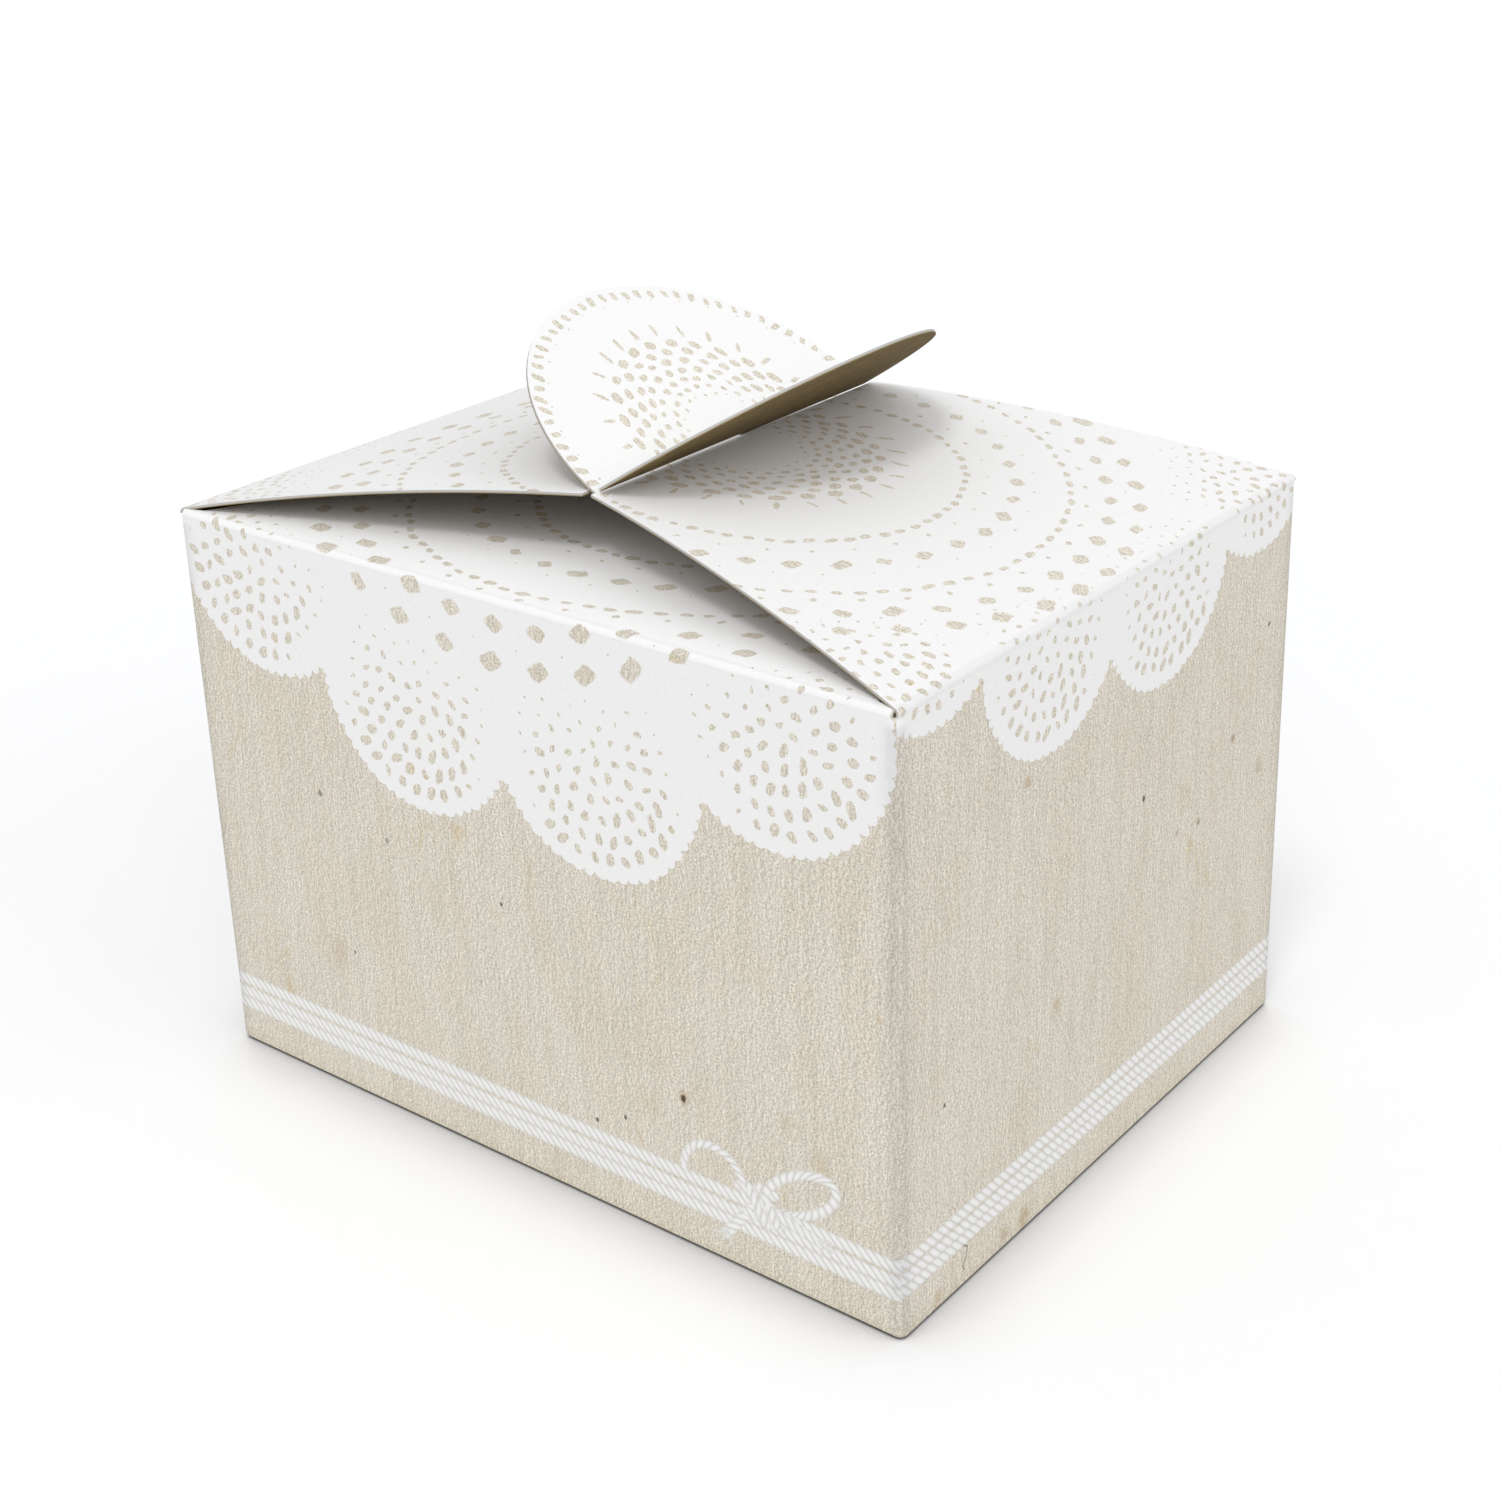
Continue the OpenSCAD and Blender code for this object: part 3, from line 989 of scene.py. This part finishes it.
def make_blemish():
    """One stain or speck, soft or sharp at its edge"""
    plan = Effect(
        "Blemish",
        {"Colour": (1.0, 1.0, 1.0, 1.0), **PLACE, "At across": 0.0, "At up": 0.0,
         "Reach": 1.0, "Edge": 0.5, "Amount": 1.0, "Tint": (0.5, 0.4, 0.2, 1.0)}, ("Colour",))
    get = plan.inputs
    x, y = get["Across"] - get["At across"], get["Up"] - get["At up"]
    far = (x * x + y * y * 0.6).math("SQRT") / get["Reach"]
    ragged = plan.noise(plan.vector(get["Across"], get["Up"]), 0.8)
    mask = (far + (ragged - 0.5) * 1.2).ramp(1.0, 1.0 - get["Edge"]) * get["Amount"]
    plan.give(Colour=plan.blend(mask, get["Colour"], get["Tint"]))


def make_painted_fold_shade():
    """Painted shade: soft grey along the upright folds and the top crease, where the rounded board turns
    from the light, and a warm tint that darkens the board over the last few millimetres above its foot
    """
    plan = Effect(
        "Fold wear",
        {"Colour": (1.0, 1.0, 1.0, 1.0), **PLACE, "Half": 70.0, "Foot": -97.3}, ("Colour",))
    get = plan.inputs
    across, up = get["Across"], get["Up"]
    ragged = plan.noise(plan.vector(across, up), 0.5, 3.0, 0.6) - 0.5
    side = get["Half"] - abs(across) + ragged * 1.2
    below = up.ramp(-1.5, -3.0)
    patchy = plan.noise(plan.vector(across * 0.2, up), 0.07).ramp(0.3, 0.6, 0.35, 1.0)
    top = abs(up) + ragged * 0.8
    foot = up - get["Foot"] + ragged * 2.0
    # Painted shade along the folds and the top crease, then the warm tint near the foot
    plan.give(Colour=plan.tint(
        get["Colour"],
        (side.ramp(4.2, 0.2) * below * 0.7, (0.86, 0.86, 0.87)),
        (side.ramp(2.6, 0.0) * below * patchy * 0.55, (0.76, 0.76, 0.78)),
        (top.ramp(1.5, 0.2), (0.92, 0.92, 0.92)),
        (foot.ramp(3.0, 0.2) * 0.5, (0.9, 0.86, 0.78))))


# ---------------------------------------------------------------- finishes


def new_finish(name, roughness, specular=0.25):
    """A material with its own Principled shader, ready for fields"""
    material = bpy.data.materials.new(name)
    material.use_nodes = True
    shader = material.node_tree.nodes["Principled BSDF"]
    shader.inputs["Roughness"].default_value = roughness
    shader.inputs["Specular IOR Level"].default_value = specular
    return Plan(material.node_tree), shader


def relief(plan, shader, height, strength):
    """Raises the board's surface by a field, a tenth of a millimetre at most"""
    bump = plan.node("ShaderNodeBump")
    bump.inputs["Strength"].default_value = strength
    bump.inputs["Distance"].default_value = 0.1 * MM
    plan.feed(height, bump.inputs["Height"])
    plan.tree.links.new(bump.outputs[0], shader.inputs["Normal"])


def lay_over(layers, bit):
    """Lays one piece of cord print over what is already there"""
    cover, strand = layers
    if cover is None:
        return bit["Cover"], bit["Strand"]
    return cover.most(bit["Cover"]), strand * (1.0 - bit["Cover"]) + bit["Strand"] * bit["Cover"]


def between(first, second):
    """The inputs of a cord stretch that runs between two places, given across and over the table"""
    step = Vector(second) - Vector(first)
    return {
        "Start": (first[0], first[1] - CREASE / MM, 0.0), "Direction": (*step.normalized(), 0.0),
        "Length": step.length}


def lay_cord(plan, ruler, layers, first, second, half_width=1.05, twist=1.6):
    """Lays a straight stretch of cord print between two places"""
    return lay_over(layers, plan.use(
        "Cord stretch", **ruler, **between(first, second), Half_width=half_width, Twist=twist,
        Phase=first[0] + first[1] * 0.37))


def make_face(name, colours, blemishes=(), half=70.0, seed=0.0, lace=None, flower=None, tab=False,
              cords=(), bow=False, hair=(), white=None):
    """A printed face: paper under a lace print, a tab's own print, or cords and an optional bow"""
    plan, shader = new_finish(name, 0.75)
    ruler = plan.use("Blank ruler")
    paper = plan.use("Pressed paper", **ruler, Seed=seed, Paper=(*colours.paper, 1))
    colour = paper["Colour"]
    for place_x, place_z, reach, edge, amount, tint in blemishes:
        if (place_z > FOOT / MM) == (not cords):
            colour = plan.use(
                "Blemish", **ruler, Colour=colour, At_across=place_x, At_up=place_z - CREASE / MM,
                Reach=reach, Edge=edge, Amount=amount, Tint=(*tint, 1))["Colour"]
    white = tuple(white or colours.print_white)
    if lace or tab:
        drawn = plan.use("Drawn by hand", **ruler, Seed=seed, Wander=0.45, Ragged=0.3)
        if tab:
            pattern = plan.use("Tab outline", **drawn)
        else:
            pattern = plan.use("Doily lace", **drawn, **lace, Seed=seed)
        hole = pattern["Hole"]
        if flower:
            hole = hole.most(plan.use("Doily flower", **drawn, Slide=flower[0], Middle=flower[1])["Hole"])
        # Painted shade: the print is a little darker where the paper's fibres lie low
        printed = plan.blend(paper["Height"].ramp(0.35, 0.95), tuple(v * 0.97 for v in white), white)
        cover = 1.0 - hole if tab else (1.0 - hole) * pattern["Cover"]
        colour = plan.blend(cover, colour, printed)
    else:
        layers = (None, None)
        for height in cords:
            layers = lay_cord(plan, ruler, layers, (-CORD_END, height), (CORD_END, height))
        if bow:
            for run in BOW_RUNS:
                layers = lay_cord(plan, ruler, layers, *run)
            for x, z, long, short, angle, half_width, level in BOW_LOOPS:
                layers = lay_over(layers, plan.use(
                    "Cord loop", **ruler, At_across=x, At_up=z - CREASE / MM, Long=long, Short=short,
                    Angle=math.radians(angle), Half_width=half_width, Level=level - CREASE / MM))
            for end in BOW_ENDS:
                layers = lay_cord(plan, ruler, layers, *end, 0.7)
        for first, second in zip(hair, hair[1:]):
            strand = plan.use(
                "Cord stretch", **ruler, **between(first, second), Half_width=0.12, Twist=50.0)["Cover"]
            colour = plan.blend(strand * 0.8, colour, (0.07, 0.05, 0.03))
        colour = plan.blend(layers[0], colour, plan.blend(layers[1], CORD_SHADE, white))
    # Painted shade along the folds, and a warm tint near the foot
    colour = plan.use("Fold wear", **ruler, Colour=colour, Half=half)["Colour"]
    plan.feed(colour, shader.inputs["Base Color"])
    relief(plan, shader, paper["Height"], 0.35)


def make_raw_board(name, colours, colour, object_space=False, skin=None):
    """Raw brown board with fibres and flecks. In object space it has printed paper on its underside,
    and a skin is the paper's thin pale line along a cut edge."""
    plan, shader = new_finish(name, 0.85)
    if object_space:
        place = plan.node("ShaderNodeTexCoord").outputs["Object"]
        x, y, z = (part * (1 / MM) for part in plan.split(place))
        across, up = x, y + z
    else:
        ruler = plan.use("Blank ruler")
        across, up = ruler["Across"], ruler["Up"]
    fibre = plan.noise(plan.vector(across, up * 0.35, 7.0), 0.9, 5.0, 0.65, 0.6)
    fleck = plan.noise(plan.vector(across * 0.6, up, 3.0), 3.2, 3.0, 0.6)
    dark, pale, speck = (tuple(min(1, v * tone) for v in colour) for tone in (0.78, 1.2, 0.5))
    brown = plan.blend(fibre.ramp(0.35, 0.68), dark, pale)
    brown = plan.blend(fleck.ramp(0.62, 0.74) * 0.5, brown, speck)
    if skin:
        depth = plan.field(plan.node("ShaderNodeAttribute", attribute_name="Depth").outputs["Fac"])
        brown = plan.blend((depth + (fibre - 0.5) * 0.4).ramp(0.55, 0.8), skin, brown)
    if object_space:
        facing = plan.split(plan.node("ShaderNodeNewGeometry").outputs["Normal"])[2]
        paper = plan.use("Pressed paper", Across=across, Up=up, Seed=11.0, Paper=(*colours.paper, 1))
        brown = plan.blend(facing.ramp(-0.4, -0.6), brown, paper["Colour"])
    plan.feed(brown, shader.inputs["Base Color"])
    relief(plan, shader, fibre, 0.3)


# How far across the cords run, past both ends of a wall, and the shade between their strands
CORD_END = 90
CORD_SHADE = (0.56, 0.535, 0.49)
# Heights of the three cords over the table, on the long walls and on the short walls
LONG_CORDS, SHORT_CORDS = (12.2, 9.7, 7.5), (12.7, 10.2, 8.0)
# Stains and specks: place across and over the table, reach, softness, strength and colour
FRONT_BLEMISHES = (
    (-42, 26, 3.6, 0.9, 0.30, (0.50, 0.38, 0.20)), (56, 24, 2.6, 0.9, 0.30, (0.50, 0.36, 0.16)),
    (50.5, 29, 3.2, 0.9, 0.20, (0.50, 0.38, 0.18)), (24.5, 22, 3.0, 0.9, 0.22, (0.52, 0.38, 0.18)),
    (-18, 43, 4.5, 0.9, 0.16, (0.52, 0.46, 0.28)), (31.2, 25.6, 1.5, 0.9, 0.55, (0.40, 0.24, 0.08)),
    (31.2, 25.4, 0.65, 0.5, 0.9, (0.05, 0.035, 0.02)), (19.4, 17.6, 0.4, 0.5, 0.9, (0.05, 0.04, 0.03)),
    (13.6, 15.0, 0.42, 0.5, 0.8, (0.08, 0.06, 0.03)), (-3.6, 46.7, 0.42, 0.5, 0.9, (0.06, 0.05, 0.02)),
    (-42.8, 54.5, 0.6, 0.6, 0.7, (0.12, 0.10, 0.08)), (-38.3, 26.9, 0.35, 0.5, 0.9, (0.05, 0.04, 0.03)),
    (-28, 50.2, 0.6, 0.7, 0.6, (0.18, 0.16, 0.14)))
SIDE_BLEMISHES = (
    (-24.5, 75, 1.3, 0.9, 0.5, (0.45, 0.32, 0.16)), (8.8, 58.8, 0.5, 0.5, 0.9, (0.05, 0.04, 0.03)),
    (-45.3, 33.4, 0.38, 0.5, 0.9, (0.05, 0.04, 0.03)), (37.6, 57.8, 0.9, 0.8, 0.6, (0.28, 0.17, 0.08)),
    (27, 47.3, 0.7, 0.8, 0.7, (0.25, 0.16, 0.08)), (20, 48.2, 0.7, 0.8, 0.6, (0.30, 0.20, 0.10)),
    (47.5, 49, 1.8, 0.9, 0.4, (0.42, 0.30, 0.16)), (-15.6, 34.7, 1.6, 0.9, 0.45, (0.48, 0.34, 0.18)),
    (48.6, 74, 0.42, 0.5, 0.9, (0.05, 0.04, 0.03)), (22, 54, 3.0, 0.9, 0.2, (0.5, 0.40, 0.22)),
    (-24, 2.4, 2.2, 0.9, 0.55, (0.42, 0.27, 0.10)), (-29.5, 2.6, 1.6, 0.9, 0.45, (0.42, 0.28, 0.12)),
    (-47, 1.8, 1.8, 0.9, 0.4, (0.45, 0.30, 0.14)))
# A stray hair low on the short wall
HAIR = ((-40.4, 7.0), (-39.4, 6.2), (-39.7, 4.6), (-40.6, 3.4), (-40.2, 2.6))
# Straight runs in the bow: both ends, across the front wall and up from the table, and half width
BOW_RUNS = (
    ((44.0, 12.0), (38.4, 5.0), 0.95), ((45.0, 12.6), (56.0, 10.6), 1.0),
    ((41.0, 14.4), (47.6, 15.2), 0.9), ((42.4, 10.4), (48.6, 10.0), 0.9),
    ((42.6, 15.0), (46.0, 9.6), 0.85), ((45.0, 15.6), (47.8, 10.4), 0.85))
# Loose strands at the ends of its cord
BOW_ENDS = (
    ((38.8, 5.6), (36.6, 4.4), 0.28), ((38.6, 5.2), (37.6, 3.4), 0.24), ((39.0, 5.0), (39.0, 3.6), 0.22),
    ((55.6, 10.8), (57.6, 11.4), 0.28), ((55.8, 10.4), (57.8, 9.9), 0.25))
# Loops of the bow: middle, long and short radius, angle in degrees, half width and lowest level
BOW_LOOPS = ((36.3, 13.7, 5.7, 5.5, 0.0, 0.7, 12.6), (52.4, 17.2, 7.1, 3.1, 30.0, 0.78, 13.2))
# Painted light: the print is written a little whiter on the tucked flaps, to make up for the shade the
# panels cast on them
FLAP_PAINTED_WHITE = (0.97, 0.97, 0.97)
# The doily on the long walls, the one on the short walls, and what differs in its rings on the lid
LONG_LACE = {"Middle": 57.0}
SHORT_LACE = {
    "Middle": 63.0, "Border_across": 1.3, "Border_middle": 72.4, "Lobe_centre": 76.4, "Lobe": 18.7,
    "Lobes": 14.82, "Border_turn": 0.0067, "Fan_step": 2.72, "Dots": 33.3, "Dot_count": 86.0,
    "Diamonds": 41.9, "Diamond_count": 42.0, "Dashes": 49.1, "Dash_count": 88.0, "Outer": 55.2,
    "Outer_step": 4.9, "Outer_count": 46.0, "Size": 0.86}
LID_RINGS = {
    "Dots": 29.8, "Dot_count": 64.0, "Diamonds": 37.5, "Diamond_count": 35.0, "Dashes": 46.0,
    "Dash_count": 83.0, "Outer": 51.9, "Outer_step": 4.6, "Outer_count": 44.0}


class CARTON_OT_finishes(bpy.types.Operator):
    """Make the printed paper, raw board and cut edge finishes"""

    bl_idname = "carton.finishes"
    bl_label = "Finishes"

    def execute(self, context):
        colours = context.scene.carton_colours
        for make in (
                make_ruler, make_hand, make_round, make_hole_ring, make_hole_rows, make_lobes, make_lace,
                make_flower, make_outline, make_cord, make_cord_loop, make_paper, make_blemish,
                make_painted_fold_shade):
            make()
        long_side = (colours, FRONT_BLEMISHES)
        short_side = (colours, SIDE_BLEMISHES, WIDTH / MM / 2, 9.0)
        make_face("Long lace", *long_side, lace=LONG_LACE)
        # The flaps' print is painted lighter, against the shade of the panels over them
        make_face("Flap lace", *long_side, lace=LONG_LACE, white=FLAP_PAINTED_WHITE)
        make_face("Tab face", colours, flower=(0.0, 68.7), tab=True)
        make_face("Long foot with bow", *long_side, cords=LONG_CORDS, bow=True)
        make_face("Long foot", colours, cords=LONG_CORDS)
        make_face("Short lace", *short_side, lace=SHORT_LACE)
        make_face("Short foot", *short_side, cords=SHORT_CORDS, hair=HAIR)
        # On the lid the doily's middle lies a little in front of the carton's middle
        for name, slide, middle, flower in (
                ("Right lid lace", -6.2, 58.5, (-4.4, 66.6)), ("Left lid lace", 8.4, 68.5, (6.4, 76.6))):
            lace = {**SHORT_LACE, **LID_RINGS, "Middle": middle, "Slide": slide}
            make_face(name, *short_side, lace=lace, flower=flower)
        make_raw_board("Raw inside", colours, tuple(colours.inside))
        make_raw_board("Cut edge", colours, tuple(colours.cut_edge), skin=(0.50, 0.49, 0.47))
        make_raw_board("Base board", colours, tuple(colours.inside), object_space=True)
        return {"FINISHED"}


# ---------------------------------------------------------------- stage

WHITE = (1, 1, 1, 1)
# The floor's grey for the light that it throws back, and the little light of its own that it shows
FLOOR_GREY = (0.72, 0.72, 0.72)
FLOOR_LIFT = 0.03
# How far the painted shadow around the carton's foot reaches, and the floor's tones in it by how open the
# floor lies there, the two ends first
PAINTED_SHADOW_REACH = 18 * MM
PAINTED_SHADOW_TONES = (
    (0.2, (0.05, 0.05, 0.05)), (1.0, (0.94, 0.947, 0.96)), (0.48, (0.58, 0.58, 0.5858)),
    (0.62, (0.80, 0.80, 0.808)), (0.8, (0.9, 0.9, 0.909)))
# Strength of the even light from all round
ROOM_STRENGTH = 0.71
# Each lamp's direction from the box and the width of its face, in degrees, and its strength
LAMPS = (
    ("key_lamp", 290, 62, 14, 0.63), ("front_lamp", 308, 32, 50, 0.66), ("side_lamp", 5, 30, 30, 0.22))
# Where the camera stands, and its turn round the box, tilt down and roll in degrees
CAMERA_AT = (0.229207, -0.281666, 0.222691)
CAMERA_TURN = (37.9605, 21.5467, -1.51124)
# Side of the square frame, the camera's focal length, and where in the frame it points, in pixels
FRAME_SIDE, FOCAL, POINTS_AT = 1500, 2397.96, (788.27, 594.99)
# Width of the camera's sensor in millimetres
SENSOR = 36


def sun_lamp(name, azimuth, elevation, spread, strength):
    """An even soft lamp far away: its direction from the box and the width of its face, in degrees"""
    bpy.ops.object.light_add(type="SUN", location=(0, 0, 1))
    lamp = bpy.context.object
    lamp.name = lamp.data.name = name
    lamp.data.angle = math.radians(spread)
    lamp.data.energy = strength
    azimuth, elevation = math.radians(azimuth), math.radians(elevation)
    level = math.cos(elevation)
    toward = Vector((math.cos(azimuth) * level, math.sin(azimuth) * level, math.sin(elevation)))
    lamp.rotation_euler = toward.to_track_quat("Z", "Y").to_euler()


def make_floor():
    """A pale floor, grey for the light it throws back and near white to the camera, with a painted
    shadow that darkens it close around the carton's foot"""
    bpy.ops.object.select_all(action="DESELECT")
    bpy.ops.mesh.primitive_plane_add(size=12, location=(0, 0, -0.3 * MM))
    floor = bpy.context.object
    floor.name = floor.data.name = "floor"
    bpy.ops.object.transform_apply(location=True, rotation=True, scale=True)
    plan, shader = new_finish("Floor", 0.9, 0.0)
    # Painted shadow: the colour the camera sees darkens where the floor lies closed in near the carton
    seen = plan.field(plan.node("ShaderNodeLightPath").outputs["Is Camera Ray"])
    nearby = plan.node("ShaderNodeAmbientOcclusion", samples=8)
    nearby.inputs["Color"].default_value = WHITE
    nearby.inputs["Distance"].default_value = PAINTED_SHADOW_REACH
    shade = plan.node("ShaderNodeValToRGB")
    tones = shade.color_ramp.elements
    for i, (place, colour) in enumerate(PAINTED_SHADOW_TONES):
        tone = tones[i] if i < 2 else tones.new(place)
        tone.position, tone.color = place, (*colour, 1)
    plan.tree.links.new(nearby.outputs["AO"], shade.inputs["Fac"])
    pale = plan.blend(seen, FLOOR_GREY, plan.field(shade.outputs["Color"]))
    plan.feed(pale, shader.inputs["Base Color"])
    shader.inputs["Emission Color"].default_value = WHITE
    plan.feed(seen * FLOOR_LIFT, shader.inputs["Emission Strength"])
    floor.data.materials.append(bpy.data.materials["Floor"])


def make_world(scene):
    """Even light from all round, and plain white where the camera sees past the floor"""
    scene.world = bpy.data.worlds.new("Studio")
    scene.world.use_nodes = True
    plan = Plan(scene.world.node_tree)
    plan.tree.nodes.clear()
    mix = plan.node("ShaderNodeMixShader")
    plan.tree.links.new(plan.node("ShaderNodeLightPath").outputs["Is Camera Ray"], mix.inputs[0])
    for place, strength in ((mix.inputs[1], ROOM_STRENGTH), (mix.inputs[2], 1)):
        light = plan.node("ShaderNodeBackground")
        light.inputs["Color"].default_value = WHITE
        light.inputs["Strength"].default_value = strength
        plan.tree.links.new(light.outputs[0], place)
    plan.tree.links.new(mix.outputs[0], plan.node("ShaderNodeOutputWorld").inputs["Surface"])


def make_camera(scene):
    """The camera, to the front right of the box and above it"""
    azimuth, elevation, roll = (math.radians(v) for v in CAMERA_TURN)
    level = math.cos(elevation)
    ahead = Vector((-math.sin(azimuth) * level, math.cos(azimuth) * level, -math.sin(elevation)))
    right = ahead.cross(Vector((0, 0, 1))).normalized()
    down = ahead.cross(right)
    right, down = (
        math.cos(roll) * right - math.sin(roll) * down, math.sin(roll) * right + math.cos(roll) * down)
    bpy.ops.object.camera_add(location=CAMERA_AT)
    camera = bpy.context.object
    camera.name = camera.data.name = "camera"
    camera.rotation_euler = Matrix((right, -down, -ahead)).transposed().to_euler()
    camera.data.sensor_width = SENSOR
    camera.data.lens = SENSOR * FOCAL / FRAME_SIDE
    camera.data.shift_x = (FRAME_SIDE / 2 - POINTS_AT[0]) / FRAME_SIDE
    camera.data.shift_y = (POINTS_AT[1] - FRAME_SIDE / 2) / FRAME_SIDE
    camera.data.clip_start = 10 * MM
    scene.camera = camera


class CARTON_OT_stage(bpy.types.Operator):
    """Set the pale floor, the soft lamps, the world and the camera"""

    bl_idname = "carton.stage"
    bl_label = "Stage"

    def execute(self, context):
        scene = context.scene
        scene.view_settings.view_transform = "Standard"
        make_floor()
        make_world(scene)
        for lamp in LAMPS:
            sun_lamp(*lamp)
        make_camera(scene)
        return {"FINISHED"}


class CARTON_PT_card_box(bpy.types.Panel):
    """Sidebar panel that lists the steps"""

    bl_label = "Card Box"
    bl_idname = "CARTON_PT_card_box"
    bl_space_type = "VIEW_3D"
    bl_region_type = "UI"
    bl_category = "Card Box"

    def draw(self, context):
        for step in STEPS:
            self.layout.operator(step.bl_idname)
        for group in (context.scene.carton_sizes, context.scene.carton_colours):
            box = self.layout.box()
            for name in group.__annotations__:
                box.prop(group, name)


STEPS = (
    CARTON_OT_stage, CARTON_OT_finishes, CARTON_OT_walls, CARTON_OT_panels, CARTON_OT_tabs,
    CARTON_OT_flaps, CARTON_OT_base)
CLASSES = (CartonSizes, CartonColours) + STEPS + (CARTON_PT_card_box,)


def register():
    for one in CLASSES:
        bpy.utils.register_class(one)
    bpy.types.Scene.carton_sizes = bpy.props.PointerProperty(type=CartonSizes)
    bpy.types.Scene.carton_colours = bpy.props.PointerProperty(type=CartonColours)


def unregister():
    del bpy.types.Scene.carton_colours
    del bpy.types.Scene.carton_sizes
    for one in reversed(CLASSES):
        bpy.utils.unregister_class(one)


def main():
    register()
    bpy.ops.carton.stage()
    bpy.ops.carton.finishes()
    bpy.ops.carton.walls()
    bpy.ops.carton.panels()
    bpy.ops.carton.tabs()
    bpy.ops.carton.flaps()
    bpy.ops.carton.base()


if __name__ == "__main__":
    main()
